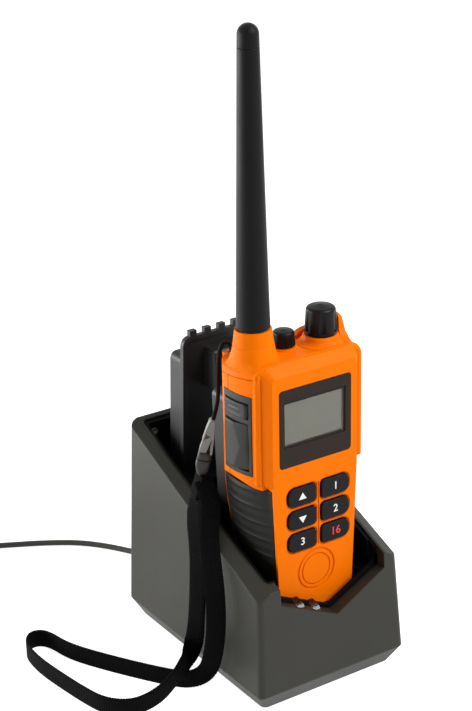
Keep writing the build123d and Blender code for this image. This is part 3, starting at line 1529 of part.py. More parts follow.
# Torsion spring: one coil round the pin with a leg on the bracket and a leg behind the arm.
with BuildPart() as belt_clip_spring:
    with BuildSketch(Plane.YZ.offset(-spring_half_length)):
        with Locations((clip_pin_y, clip_pin_z)):
            Circle(hub_radius - 0.4)
            Circle(clip_pin_radius + 0.3, mode=Mode.SUBTRACT)
    extrude(amount=2 * spring_half_length)
    with Locations((-spring_half_length + 0.5, (bracket_back_y + clip_pin_y) / 2 - 0.9, clip_pin_z + hub_radius - 0.9)):
        Box(1.0, clip_pin_y - bracket_back_y - 2.0, 1.0)
save(belt_clip_spring, "belt_clip_spring")

# ---- lanyard: a thin loop from the eye, a two-part clip, a stitched end and the wrist strap ----
clip_top = Vector(-36.6, -11.9, 146.6)
clip_bottom = Vector(-39.5, -3.5, 113.0)
clip_axis = (clip_bottom - clip_top).normalized()
clip_side = Vector(0.84, -0.54, 0)
clip_length = (clip_bottom - clip_top).length
clip_joint_gap = 0.3
clip_half = (clip_length - clip_joint_gap) / 2

loop_points = [
    (eye_x, eye_y, 177.0),
    (eye_x, eye_y, 181.8),
    (-23.8, -9.1, 185.6),
    (-27.4, -8.9, 186.2),
    (-29.9, -8.8, 182.0),
    (-30.7, -8.8, 174.0),
    (-31.1, -8.9, 165.0),
    (-31.2, -9.1, 158.5),
    (-33.0, -10.2, 152.4),
    tuple(clip_top),
]
lanyard_loop = cord_tube(loop_points, loop_diameter, "lanyard_loop")
save(lanyard_loop, "lanyard_loop")

upper_plane = Plane(origin=clip_top, x_dir=clip_side, z_dir=clip_axis)
with BuildPart() as lanyard_clip_upper:
    for distance, width, depth in ((0, 4.6, 4.0), (4, 7.6, 5.0), (clip_half, 9.0, 5.0)):
        with BuildSketch(upper_plane.offset(distance)):
            RectangleRounded(width, depth, 1.6)
    loft(ruled=True)
save(lanyard_clip_upper, "lanyard_clip_upper")

with BuildPart() as lanyard_clip_lower:
    start = clip_half + clip_joint_gap
    for distance, width, depth in ((start, 9.6, 5.4), (start + 7, 9.4, 5.4), (clip_length, 6.0, 4.4)):
        with BuildSketch(upper_plane.offset(distance)):
            RectangleRounded(width, depth, 1.8)
    loft(ruled=True)
save(lanyard_clip_lower, "lanyard_clip_lower")

tab_end = Vector(-40.2, 1.8, 99.5)
tab_axis = (tab_end - clip_bottom).normalized()
tab_plane = Plane(origin=clip_bottom, x_dir=clip_side, z_dir=tab_axis)
webbing_width = 10.0
with BuildPart() as strap_end:
    with BuildSketch(tab_plane.offset(1.2)):
        RectangleRounded(webbing_width - 1, 2.8, 1.0)
    extrude(amount=(tab_end - clip_bottom).length - 1.2)
save(strap_end, "strap_end")

strap_z = webbing_width / 2
strap_points = [
    tuple(tab_end),
    (-41.8, 0.6, 96.2),
    (-44.9, -1.9, 91.5),
    (-46.9, -3.9, 84.5),
    (-47.1, -3.7, 72.0),
    (-47.8, -2.0, 54.0),
    (-48.7, -0.9, 36.0),
    (-50.1, -2.2, 25.0),
    (-54.4, -6.6, 18.8),
    (-62.0, -12.2, 15.6),
    (-71.5, -18.4, 14.4),
    (-80.5, -23.4, 10.0),
    (-89.5, -26.4, 6.2),
    (-98.5, -25.8, strap_z),
    (-106.0, -21.2, strap_z),
    (-111.4, -13.0, strap_z),
    (-114.4, 0.5, strap_z),
    (-117.0, 17.0, strap_z),
    (-119.2, 34.0, strap_z),
    (-119.4, 47.5, strap_z),
    (-117.8, 57.6, strap_z),
    (-112.2, 64.8, strap_z),
    (-105.2, 63.4, strap_z),
    (-102.0, 56.0, strap_z),
    (-100.6, 46.4, strap_z),
    (-96.8, 35.6, strap_z),
    (-89.0, 20.6, strap_z),
    (-79.0, 3.4, strap_z),
    (-70.4, -10.0, strap_z),
    (-63.0, -18.6, strap_z),
    (-56.0, -21.8, 5.4),
    (-51.5, -24.2, 9.8),
    (-49.6, -27.4, 18.0),
    (-48.8, -31.0, 30.0),
    (-48.3, -33.4, 43.0),
    (-47.5, -32.6, 60.0),
    (-46.8, -27.8, 74.0),
    (-46.4, -22.6, 84.0),
    (-42.9, -18.2, 91.4),
    (-39.6, -14.2, 98.6),
    (-38.8, -9.6, 105.4),
]
wrist_strap = cord_tube(strap_points, strap_diameter, "wrist_strap")
save(wrist_strap, "wrist_strap")
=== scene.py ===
"""Looks of the handheld marine radio in its two-bay charger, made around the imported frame.

Places and sizes are in millimetres in the CAD's own frame and become metres in mm(). The origin is on the
floor under the middle of the charger, +Z is up, and the radio's face looks along -Y.
"""
import json
from math import cos, exp, log, pi, radians, sin, sqrt

import bmesh
import bpy
from mathutils import Matrix, Vector


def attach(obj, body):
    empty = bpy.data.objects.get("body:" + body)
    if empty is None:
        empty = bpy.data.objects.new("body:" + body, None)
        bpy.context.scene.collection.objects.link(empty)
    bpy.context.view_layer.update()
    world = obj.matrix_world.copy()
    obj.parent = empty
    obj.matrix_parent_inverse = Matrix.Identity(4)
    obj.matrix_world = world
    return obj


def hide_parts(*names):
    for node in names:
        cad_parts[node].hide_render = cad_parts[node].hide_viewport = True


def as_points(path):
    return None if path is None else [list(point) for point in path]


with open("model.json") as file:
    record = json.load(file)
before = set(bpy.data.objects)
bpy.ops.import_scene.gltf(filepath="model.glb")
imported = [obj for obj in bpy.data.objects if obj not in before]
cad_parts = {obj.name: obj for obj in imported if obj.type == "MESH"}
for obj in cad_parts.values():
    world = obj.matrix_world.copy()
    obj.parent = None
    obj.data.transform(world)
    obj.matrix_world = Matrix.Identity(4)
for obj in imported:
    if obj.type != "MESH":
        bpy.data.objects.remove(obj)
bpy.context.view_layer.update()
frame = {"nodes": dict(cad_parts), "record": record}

MM = 0.001


def mm(*values):
    """A point or direction given in millimetres, as a vector in metres."""
    return Vector(values) * MM


def smooth_step(t):
    """0 up to t = 0, 1 from t = 1, and an even ease between them."""
    t = min(1.0, max(0.0, t))
    return t * t * (3 - 2 * t)


# ======================================================================= camera
CAMERA_TARGET = (19.11, 50.13, 148.01)
CAMERA_DISTANCE = 994.7
CAMERA_AZIMUTH = -33.306
CAMERA_ELEVATION = 22.419
CAMERA_ROLL = -1.266
CAMERA_LENS = 90.943
SENSOR_SIZE = 36            # along the picture's long side
CLIP_NEAR, CLIP_FAR = 0.05, 20   # metres


def make_camera():
    """The photograph's camera, looking at CAMERA_TARGET."""
    azimuth, elevation, roll = (radians(a) for a in (CAMERA_AZIMUTH, CAMERA_ELEVATION, CAMERA_ROLL))
    back = Vector((sin(azimuth) * cos(elevation), -cos(azimuth) * cos(elevation), sin(elevation)))
    level = Vector((0, 0, 1)).cross(back).normalized()
    upright = back.cross(level)
    right = cos(roll) * level + sin(roll) * upright
    top = cos(roll) * upright - sin(roll) * level
    data = bpy.data.cameras.new("camera")
    data.lens = CAMERA_LENS
    data.sensor_width = SENSOR_SIZE
    data.clip_start, data.clip_end = CLIP_NEAR, CLIP_FAR
    camera = bpy.data.objects.new("camera", data)
    camera.matrix_world = Matrix((right, top, back)).transposed().to_4x4()
    camera.matrix_world.translation = mm(*CAMERA_TARGET) + back * CAMERA_DISTANCE * MM
    bpy.context.collection.objects.link(camera)
    bpy.context.scene.camera = camera


make_camera()


# ======================================================================= making pieces
def add_object(name, data):
    piece = bpy.data.objects.new(name, data)
    bpy.context.collection.objects.link(piece)
    return piece


def mesh_object(name, vertices, faces, smooth=True):
    """A mesh piece from points in millimetres."""
    data = bpy.data.meshes.new(name)
    data.from_pydata([mm(*v) for v in vertices], [], faces)
    data.validate()
    builder = bmesh.new()
    builder.from_mesh(data)
    bmesh.ops.recalc_face_normals(builder, faces=builder.faces)
    builder.to_mesh(data)
    builder.free()
    for polygon in data.polygons:
        polygon.use_smooth = smooth
    return add_object(name, data)


def tube_faces(rings, sides):
    """Faces between rings of points, one after another, with a cap at each end."""
    faces = []
    for ring in range(rings - 1):
        here, there = ring * sides, (ring + 1) * sides
        for index in range(sides):
            after = (index + 1) % sides
            faces.append((here + index, here + after, there + after, there + index))
    return faces + [tuple(range(sides)), tuple(range((rings - 1) * sides, rings * sides))]


def round_curve(name, points, radius, kind, roundness, steps=1):
    """A round rod along the points, in millimetres, and its spline of the given kind."""
    data = bpy.data.curves.new(name, "CURVE")
    data.dimensions = "3D"
    data.resolution_u = steps
    data.bevel_depth = radius * MM
    data.bevel_resolution = roundness
    data.use_fill_caps = True
    spline = data.splines.new(kind)
    spline.points.add(len(points) - 1)
    for knot, place in zip(spline.points, points):
        knot.co = (*mm(*place), 1)
    return add_object(name, data), spline


def nurbs_curve(name, points, radius=0.0, steps=10):
    """A smooth open curve with the points, in millimetres, as its control points."""
    piece, spline = round_curve(name, points, radius, "NURBS", 5, steps)
    spline.order_u = 3
    spline.use_endpoint_u = True
    return piece


def curve_points(points, steps=10):
    """Points along the smooth curve through a route, in millimetres, evenly spaced as Blender divides it."""
    carrier = nurbs_curve("route", points, steps=steps)
    line = bpy.data.meshes.new_from_object(carrier)
    places = [v.co / MM for v in line.vertices]
    bpy.data.objects.remove(carrier)
    bpy.data.meshes.remove(line)
    return places


def resample(places, spacing):
    """The same line with its points a fixed distance apart, and how far along each one lies."""
    lengths = [0.0]
    for here, there in zip(places, places[1:]):
        lengths.append(lengths[-1] + (there - here).length)
    count = max(2, round(lengths[-1] / spacing) + 1)
    result, stations, index = [], [], 0
    for step in range(count):
        station = lengths[-1] * step / (count - 1)
        while index < len(lengths) - 2 and lengths[index + 1] < station:
            index += 1
        share = (station - lengths[index]) / max(lengths[index + 1] - lengths[index], 1e-9)
        result.append(places[index].lerp(places[index + 1], min(share, 1.0)))
        stations.append(station)
    return result, stations


# ======================================================================= charger lead
LEAD_DIAMETER = 3.4
LEAD_Z = 1.8
GLAND_TIP = (0.0, 79.0, 17.0)
COIL_CENTRE = (-110.4, 173.5)
COIL_OUTER = 24.1           # middle of the outermost turn
COIL_INNER = 13.9
COIL_TURNS = 10.336
COIL_START = 50.0           # degrees
COIL_STEPS = 12             # control points to a turn
LAYER_TURNS = 4             # three turns across the band and one to climb
LAYER_RISE = 3.3
TURN_STRAY = 0.35           # how far the turns stray from an even spiral
STRAY_RATE = 2.3            # radians of straying to a turn
LAST_CLIMB = 0.2            # turns over which the end leaves the coil

lead_out = [
    GLAND_TIP,
    (0.0, 88.5, 17.0),
    (-0.6, 98.0, 12.3),
    (-2.7, 107.0, 6.0),
    (-6.5, 115.5, 2.1),
    (-12.3, 127.0, LEAD_Z),
    (-20.5, 140.5, LEAD_Z),
    (-32.5, 154.5, LEAD_Z),
    (-50.0, 166.3, LEAD_Z),
    (-66.5, 175.2, LEAD_Z),
    (-83.5, 184.3, LEAD_Z),
]
lead_tail = [
    (-130.2, 158.0, 11.6),
    (-131.8, 149.5, 9.6),
    (-133.2, 141.5, 5.6),
    (-134.0, 133.5, 4.6),
    (-134.0, 127.2, 4.6),
    (-134.0, 119.2, 4.6),
]


def coil_turns():
    """The stored length: flat layers of turns that wind inwards, climb a layer and wind outwards again."""
    widen = 1 / cos(pi / COIL_STEPS)    # the curve cuts the corners of its control points
    places = []
    count = round(COIL_TURNS * COIL_STEPS)
    for step in range(count + 1):
        turn = COIL_TURNS * step / count
        layer, within = divmod(turn, LAYER_TURNS)
        across = min(within / (LAYER_TURNS - 1), 1.0)
        if layer % 2:
            across = 1 - across
        climb = smooth_step(within - (LAYER_TURNS - 1))
        radius = COIL_OUTER + (COIL_INNER - COIL_OUTER) * across + TURN_STRAY * sin(STRAY_RATE * turn)
        angle = radians(COIL_START) + 2 * pi * turn
        height = LEAD_Z + LAYER_RISE * (layer + climb)
        if COIL_TURNS - turn < LAST_CLIMB:
            height += LAYER_RISE * smooth_step(1 - (COIL_TURNS - turn) / LAST_CLIMB)
        reach = radius * widen
        places.append((COIL_CENTRE[0] + reach * cos(angle), COIL_CENTRE[1] + reach * sin(angle), height))
    return places


charger_lead = nurbs_curve("power_lead", lead_out + coil_turns() + lead_tail, LEAD_DIAMETER / 2, steps=6)


# ======================================================================= wrist strap
WEB_WIDTH = 10.4
WEB_THICKNESS = 1.3
ON_EDGE = (0, 0, -1)
TOWARDS_RIGHT = (0.80, -0.60, 0)

# Each point of the strap's route with the direction that the webbing's width takes there.
strap_route = [
    ((-40.2, 1.8, 99.5), (-0.16, -0.98, 0)),
    ((-41.2, 0.4, 96.0), (0, -1, 0)),
    ((-44.4, -3.2, 91.5), (0.1, -1, 0)),
    ((-46.8, -7.2, 84.5), (0.25, -1, 0)),
    ((-47.4, -10.2, 72.0), (0.35, -1, 0)),
    ((-48.3, -11.0, 54.0), (0.4, -1, 0)),
    ((-49.4, -10.6, 36.0), (0.4, -1, 0)),
    ((-51.2, -11.6, 25.0), (0.4, -0.9, -0.3)),
    ((-55.6, -14.6, 18.4), (0.2, -0.5, -0.8)),
    ((-62.6, -18.6, 14.2), (0, -0.2, -1)),
    ((-71.5, -22.4, 11.0), ON_EDGE),
    ((-80.5, -25.6, 7.8), ON_EDGE),
    ((-89.5, -26.4, 5.8), ON_EDGE),
    ((-98.5, -25.8, 5.1), ON_EDGE),
    ((-106.0, -21.2, 5.1), ON_EDGE),
    ((-111.4, -13.0, 5.1), ON_EDGE),
    ((-114.4, 0.5, 5.1), ON_EDGE),
    ((-117.0, 17.0, 5.1), ON_EDGE),
    ((-119.2, 34.0, 5.1), ON_EDGE),
    ((-119.4, 47.5, 5.1), ON_EDGE),
    ((-117.8, 57.6, 5.1), ON_EDGE),
    ((-112.2, 64.8, 5.1), ON_EDGE),
    ((-105.2, 63.4, 5.1), ON_EDGE),
    ((-102.0, 56.0, 5.1), ON_EDGE),
    ((-100.6, 46.4, 5.1), ON_EDGE),
    ((-96.8, 35.6, 5.1), ON_EDGE),
    ((-89.0, 20.6, 5.1), ON_EDGE),
    ((-79.0, 3.4, 5.1), ON_EDGE),
    ((-70.4, -10.0, 5.1), ON_EDGE),
    ((-64.0, -19.6, 5.6), ON_EDGE),
    ((-58.4, -25.0, 7.6), (0.25, -0.2, -0.95)),
    ((-54.6, -28.8, 12.8), (0.6, -0.45, -0.6)),
    ((-53.6, -31.6, 21.0), (0.75, -0.58, -0.2)),
    ((-53.2, -34.0, 32.0), TOWARDS_RIGHT),
    ((-52.6, -35.0, 45.0), TOWARDS_RIGHT),
    ((-51.6, -33.0, 60.0), TOWARDS_RIGHT),
    ((-50.0, -28.0, 74.0), TOWARDS_RIGHT),
    ((-47.8, -22.4, 84.0), TOWARDS_RIGHT),
    ((-43.8, -17.6, 91.4), TOWARDS_RIGHT),
    ((-40.4, -14.0, 98.6), TOWARDS_RIGHT),
    ((-39.2, -9.0, 105.4), TOWARDS_RIGHT),
    ((-39.4, -5.4, 111.0), TOWARDS_RIGHT),
]
SELVEDGE_PITCH = 1.5
SELVEDGE_DEPTH = 0.16
# Half of the webbing's section, in half widths and half thicknesses. The other half is its mirror image.
HALF_SECTION = ((-1, -0.62), (-0.9, -1), (-0.45, -1), (0, -1), (0.45, -1), (0.9, -1), (1, -0.62))


def width_directions(route, stations):
    """The webbing's width direction at each station, blended between the route's own."""
    reach = [0.0]
    for (here, _), (there, _) in zip(route, route[1:]):
        reach.append(reach[-1] + (Vector(there) - Vector(here)).length)
    result, index = [], 0
    for station in stations:
        place = station / stations[-1] * reach[-1]
        while index < len(reach) - 2 and reach[index + 1] < place:
            index += 1
        share = smooth_step((place - reach[index]) / (reach[index + 1] - reach[index]))
        first, second = Vector(route[index][1]).normalized(), Vector(route[index + 1][1]).normalized()
        result.append(first.lerp(second, share))
    return result


def webbing(name, route, width=WEB_WIDTH, thickness=WEB_THICKNESS):
    """Flat woven webbing along a route, with the small steps of its selvedge, and its middle line."""
    line, stations = resample(curve_points([place for place, _ in route]), SELVEDGE_PITCH / 2)
    directions = width_directions(route, stations)
    section = [*HALF_SECTION, *((-x, -y) for x, y in HALF_SECTION)]
    vertices, marks = [], []
    for index, (place, station, wide) in enumerate(zip(line, stations, directions)):
        ahead = (line[min(index + 1, len(line) - 1)] - line[max(index - 1, 0)]).normalized()
        wide = (wide - ahead * wide.dot(ahead)).normalized()
        thick = ahead.cross(wide)
        half = width / 2 - (SELVEDGE_DEPTH if index % 2 else 0)
        for x, y in section:
            vertices.append(place + wide * (x * half) + thick * (y * thickness / 2))
            marks.append((station, x * half))
    piece = mesh_object(name, vertices, tube_faces(len(line), len(section)))
    layer = piece.data.uv_layers.new(name="cloth")
    for loop in piece.data.loops:
        layer.data[loop.index].uv = marks[loop.vertex_index]
    return piece, line


strap, strap_line = webbing("wrist_webbing", strap_route)


# ======================================================================= lanyard loop
LOOP_DIAMETER = 2.2
lanyard_route = [
    (-22.5, -9.2, 177.0),
    (-22.5, -9.2, 181.8),
    (-23.8, -9.1, 185.6),
    (-27.4, -8.9, 186.2),
    (-29.9, -8.8, 182.0),
    (-30.7, -8.8, 174.0),
    (-31.1, -8.9, 165.0),
    (-31.2, -9.1, 158.5),
    (-33.0, -10.2, 152.4),
    (-36.6, -11.9, 146.6),
]
loop_cord = nurbs_curve("lanyard_cord", lanyard_route, LOOP_DIAMETER / 2)


# ======================================================================= head's bowed left side: two buttons
SIDE_RADIUS = 37.0
SIDE_CENTRE = (2.2, -26.0)
BUTTON_FRONT = -38.4
BUTTON_REAR = -21.9
BUTTON_PROUD = 1.5
BUTTON_BOTTOM = -2.6        # how far the buttons reach below the head's surface
BUTTON_CORNER = 1.8
EDGE_STEPS = ((0.0, 0.9), (0.12, 0.42), (0.35, 0.14), (0.8, 0.0))   # distance in from the rim, drop there
TALK_Z = (126.6, 152.4)
TALK_RIDGE = -4.6           # the ridge's place at half height, from the key's middle
TALK_RIDGE_LEAN = 5.6       # how far back it runs towards the key's ends
TALK_PROUD = 0.3            # above BUTTON_PROUD
TALK_SLOPES = (0.24, 0.02)  # of the facets before and behind the ridge
LIGHT_Z = (155.4, 163.6)
DISH_DEPTH = 0.25
DISH_REACH = (7.0, 3.4)     # half its length and half its height
BAR_RISE = 0.22
BAR_REACH = 4.6             # half its length
BAR_THICKNESS = 0.7         # over which its top and its foot fade
BAR_FLAT = 1.6              # in those thicknesses


def on_side(y, z, out):
    """A point at depth y and height z, out from the bowed side."""
    return SIDE_CENTRE[0] - sqrt((SIDE_RADIUS + out) ** 2 - (y - SIDE_CENTRE[1]) ** 2), y, z


def relief_patch(name, place, half_width, half_height, corner, top, bottom, steps=(26, 34), edge=EDGE_STEPS):
    """A closed rounded-rectangle pad. place(a, b, out) puts it in space, top(a, b) is its relief."""
    insets = [inset for inset, _ in edge]
    inner = edge[-1][0]

    def stations(half, count):
        middle = [-half + inner + 2 * (half - inner) * i / count for i in range(1, count)]
        return [-half + i for i in insets] + middle + [half - i for i in reversed(insets)]

    rows = stations(half_height, steps[1])
    columns = [a / half_width for a in stations(half_width, steps[0])]

    def drop(distance):
        for (near, high), (far, low) in zip(edge, edge[1:]):
            if distance <= far:
                return high + (low - high) * (distance - near) / (far - near)
        return 0.0

    vertices = []
    for level in (0, 1):
        for b in rows:
            beyond = max(0.0, abs(b) - (half_height - corner))
            reach = half_width - corner + sqrt(max(corner ** 2 - beyond ** 2, 0.0))
            for share in columns:
                a = share * reach
                rim = min(reach - abs(a), half_height - abs(b))
                out = top(a, b) - drop(max(rim, 0.0)) if level == 0 else bottom
                vertices.append(place(a, b, out))
    wide, tall = len(columns), len(rows)
    layer = wide * tall
    faces = []
    for row in range(tall - 1):
        for column in range(wide - 1):
            corner_index = row * wide + column
            quad = (corner_index, corner_index + 1, corner_index + wide + 1, corner_index + wide)
            faces += [quad, tuple(layer + index for index in reversed(quad))]
    border = list(range(wide)) + [row * wide + wide - 1 for row in range(1, tall)]
    border += list(range(layer - 2, layer - wide - 1, -1)) + [row * wide for row in range(tall - 2, 0, -1)]
    for here, there in zip(border, border[1:] + border[:1]):
        faces.append((here, there, layer + there, layer + here))
    return mesh_object(name, vertices, faces)


def side_button(name, low_z, high_z, top):
    """A rubber key on the head's bowed side."""
    middle_y = (BUTTON_FRONT + BUTTON_REAR) / 2
    middle_z = (low_z + high_z) / 2
    return relief_patch(
        name, lambda a, b, out: on_side(middle_y + a, middle_z + b, out), (BUTTON_REAR - BUTTON_FRONT) / 2,
        (high_z - low_z) / 2, BUTTON_CORNER, top, BUTTON_BOTTOM,
    )


def talk_relief(a, b):
    """Two facets that meet in a ridge, which points forwards at half height."""
    ridge = TALK_RIDGE + TALK_RIDGE_LEAN * abs(b) / ((TALK_Z[1] - TALK_Z[0]) / 2)
    fall = TALK_SLOPES[0] * (ridge - a) if a < ridge else TALK_SLOPES[1] * (a - ridge)
    return BUTTON_PROUD + TALK_PROUD - fall


def light_relief(a, b):
    """A shallow dish with a low raised bar across it."""
    bar = BAR_RISE * smooth_step(BAR_FLAT - abs(b) / BAR_THICKNESS) * smooth_step(BAR_REACH - abs(a))
    across, up = (smooth_step(1 - (part / reach) ** 2) for part, reach in zip((a, b), DISH_REACH))
    return BUTTON_PROUD - DISH_DEPTH * across * up + bar


talk_key = side_button("talk_key", *TALK_Z, talk_relief)
side_key = side_button("side_key", *LIGHT_Z, light_relief)


# ======================================================================= rubber grips
BODY_LOW_Z = 44.0
BODY_HIGH_Z = 121.0
BODY_HALF_WIDTHS = (23.0, 26.4)    # at those two heights
GRIP_LOW_Z = 45.0
GRIP_TOP_Z = 117.3
GRIP_FRONT = -49.1
GRIP_REAR = -13.5
GRIP_RIDGE_Z = 110.6        # the highest ridge
GRIP_PITCH = 9.1
GRIP_FLUTE = 0.55           # depth of the hollows between the ridges
GRIP_FADE = 4.0             # over which they run out towards the pad's sides
RIDGE_POWER = 6             # how thin the ridges are
HOLLOW_SHAPE = (0.6, 1.6)   # the hollow's even part, and how much more it has at its middle
GRIP_CORNER = 2.0
PAD_BOTTOM = -1.5           # how far the pads reach below the body's surface
SIDE_STRAIGHT = (2.1, 2.3, 2.4)    # low down: bulge at the middle, fall towards the edges, and its power
GRIP_STRAIGHT_Z = 57.0      # the sides bow out above this height
BOW_BLEND = 62.0            # the height over which they do
BOW_INSET = 1.5             # how far the bowed side stays inside the head's
RAIL_REAR = -12.1
RAIL_GAP = 0.1              # between the grip and the rail behind it
RAIL_CORNER = 0.4


def half_face(z):
    """Half width of the radio's lower body at height z."""
    low, high = BODY_HALF_WIDTHS
    return low + (high - low) / (BODY_HIGH_Z - BODY_LOW_Z) * (z - BODY_LOW_Z)


def side_bow(y, z):
    """How far the lower body's side stands out from its flat CAD side: with the head's own bow higher up."""
    bulge, fall, power = SIDE_STRAIGHT
    from_middle = abs((y - (GRIP_FRONT + GRIP_REAR) / 2) / ((GRIP_REAR - GRIP_FRONT) / 2))
    straight = bulge - fall * from_middle ** power
    bowed = -on_side(y, z, -BOW_INSET)[0] - half_face(z)
    return straight + (max(bowed, 0.0) - straight) * smooth_step((z - GRIP_STRAIGHT_Z) / BOW_BLEND)


def side_pad(name, side, front, rear, flute, corner, steps):
    """A pad on the lower body's side, whose shallow hollows meet in thin ridges."""
    middle_y = (front + rear) / 2
    middle_z = (GRIP_LOW_Z + GRIP_TOP_Z) / 2
    half_depth = (rear - front) / 2

    def place(a, b, out):
        return side * (half_face(middle_z + b) + out), middle_y + a, middle_z + b

    def relief(a, b):
        within = ((GRIP_RIDGE_Z - middle_z - b) / GRIP_PITCH) % 1.0
        fade = smooth_step((half_depth - abs(a)) / GRIP_FADE)
        even, middle = HOLLOW_SHAPE
        hollow = (1 - (1 - 2 * abs(within - 0.5)) ** RIDGE_POWER) * (even + middle * within * (1 - within))
        return side_bow(middle_y + a, middle_z + b) - flute * fade * hollow

    half_height = (GRIP_TOP_Z - GRIP_LOW_Z) / 2
    return relief_patch(name, place, half_depth, half_height, corner, relief, PAD_BOTTOM, steps=steps)


SIDES = (("left", -1), ("right", 1))
grips = [
    side_pad(f"rubber_grip_{name}", side, GRIP_FRONT, GRIP_REAR, GRIP_FLUTE, GRIP_CORNER, (24, 150))
    for name, side in SIDES
]
rails = [
    side_pad(f"side_rail_{name}", side, GRIP_REAR + RAIL_GAP, RAIL_REAR, 0.0, RAIL_CORNER, (3, 40))
    for name, side in SIDES
]


# ======================================================================= rolled edge round the frame
ROLL_RADIUS = 2.0
ROLL_LEFT_X = -30.2
ROLL_RIGHT_X = 32.2
ROLL_Y = -43.3
ROLL_TOP_Z = 182.4
ROLL_LOW_Z = 120.5
ROLL_CORNER = 5.6
ROLL_CORNER_STEPS = 8


def make_roll():
    """A round bead up both sides of the frame and across its top."""
    route = [(ROLL_LEFT_X, ROLL_Y, ROLL_LOW_Z)]
    for centre_x, first in ((ROLL_LEFT_X + ROLL_CORNER, 180), (ROLL_RIGHT_X - ROLL_CORNER, 90)):
        for step in range(ROLL_CORNER_STEPS + 1):
            angle = radians(first - 90 * step / ROLL_CORNER_STEPS)
            route.append((
                centre_x + ROLL_CORNER * cos(angle), ROLL_Y,
                ROLL_TOP_Z - ROLL_CORNER + ROLL_CORNER * sin(angle),
            ))
    route.append((ROLL_RIGHT_X, ROLL_Y, ROLL_LOW_Z))
    piece, spline = round_curve("frame_roll", route, ROLL_RADIUS, "POLY", 6)
    spline.use_smooth = True
    return piece


frame_roll = make_roll()


# ======================================================================= skirt of the antenna's cone
CONE_AXIS = (-23.6, -30.9)
SKIRT_LOW_Z = 180.9
SKIRT_TOP_Z = 192.0
SKIRT_REACH = 14.4          # free radius of its foot
CONE_RADIUS = 10.75         # at CONE_RADIUS_Z
CONE_RADIUS_Z = 190.0
CONE_SLOPE = 0.127
FRAME_BACK_Y = -43.9
SIDE_MARGIN = 0.1           # the foot stays this far inside the head's side
SKIRT_PROUD = 0.06          # how far the skirt lies outside the cone
SKIRT_POWER = 2.4           # how fast the flare runs out upwards


def cone_radius(z):
    return CONE_RADIUS + CONE_SLOPE * (CONE_RADIUS_Z - z)


def softer_least(values, softness=0.5):
    """The least of the values, with its corners rounded."""
    return -softness * log(sum(exp(-value / softness) for value in values))


def make_skirt(columns=72, rows=16):
    """A flare that runs the cone out into the cap, the head's bowed side and the frame."""
    start_x, start_y = CONE_AXIS[0] - SIDE_CENTRE[0], CONE_AXIS[1] - SIDE_CENTRE[1]
    side_reach = SIDE_RADIUS - SIDE_MARGIN
    cone_foot = cone_radius(SKIRT_LOW_Z)
    vertices = []
    for row in range(rows + 1):
        climb = row / rows
        z = SKIRT_LOW_Z + (SKIRT_TOP_Z - SKIRT_LOW_Z) * climb
        for column in range(columns):
            angle = 2 * pi * column / columns
            along = start_x * cos(angle) + start_y * sin(angle)
            side = -along + sqrt(along ** 2 - start_x ** 2 - start_y ** 2 + side_reach ** 2)
            front = (FRAME_BACK_Y - CONE_AXIS[1]) / min(sin(angle), -1e-3)
            foot = softer_least((side, front, SKIRT_REACH))
            radius = cone_radius(z) + SKIRT_PROUD + (foot - cone_foot) * (1 - climb) ** SKIRT_POWER
            vertices.append((CONE_AXIS[0] + radius * cos(angle), CONE_AXIS[1] + radius * sin(angle), z))
    return mesh_object("cone_skirt", vertices, tube_faces(rows + 1, columns))


cone_skirt = make_skirt()


# ======================================================================= legends on the keys
KEY_FRONT = -51.7
LEGEND_DEPTH = 0.06
KEY_LEFT_X = -9.0
KEY_RIGHT_X = 12.0
KEY_ROWS = (111.0, 98.0, 85.0)
NUMBER_SIZE = 6.0
CALL_NUMBER_SIZE = 6.4
STROKE_GAIN = 0.07          # how much bolder than the plain characters
ARROW_HALF_WIDTH = 2.4
ARROW_FOOT = -1.6
ARROW_TIP = 2.2


def text_mesh(name, words, size, x, z):
    """Plain characters lying on the keys' front, centred on x and z."""
    data = bpy.data.curves.new(name, "FONT")
    data.body = words
    data.size = size * MM
    data.extrude = LEGEND_DEPTH * MM / 2
    data.offset = STROKE_GAIN * MM
    data.align_x = "CENTER"
    data.align_y = "CENTER"
    carrier = bpy.data.objects.new(name, data)
    mesh = bpy.data.meshes.new_from_object(carrier)
    mesh.transform(Matrix.Translation(mm(x, KEY_FRONT, z)) @ Matrix.Rotation(pi / 2, 4, "X"))
    bpy.data.objects.remove(carrier)
    return add_object(name, mesh)


def triangle_mesh(name, x, z, up):
    """A plain arrow head that points up, or down where up is -1."""
    foot = ARROW_FOOT * up
    outline = [(-ARROW_HALF_WIDTH, foot), (ARROW_HALF_WIDTH, foot), (0.0, ARROW_TIP * up)]
    front, back = KEY_FRONT - LEGEND_DEPTH, KEY_FRONT + LEGEND_DEPTH
    vertices = [(x + dx, y, z + dz) for y in (front, back) for dx, dz in outline]
    faces = [(0, 1, 2), (3, 5, 4), (0, 3, 4, 1), (1, 4, 5, 2), (2, 5, 3, 0)]
    return mesh_object(name, vertices, faces, smooth=False)


legends = {
    "up": triangle_mesh("legend_up", KEY_LEFT_X, KEY_ROWS[0], 1),
    "down": triangle_mesh("legend_down", KEY_LEFT_X, KEY_ROWS[1], -1),
    "squelch": text_mesh("legend_squelch", "1", NUMBER_SIZE, KEY_RIGHT_X, KEY_ROWS[0]),
    "scan": text_mesh("legend_scan", "2", NUMBER_SIZE, KEY_RIGHT_X, KEY_ROWS[1]),
    "high_low": text_mesh("legend_high_low", "3", NUMBER_SIZE, KEY_LEFT_X, KEY_ROWS[2]),
    "call": text_mesh("legend_call", "16", CALL_NUMBER_SIZE, KEY_RIGHT_X, KEY_ROWS[2]),
}


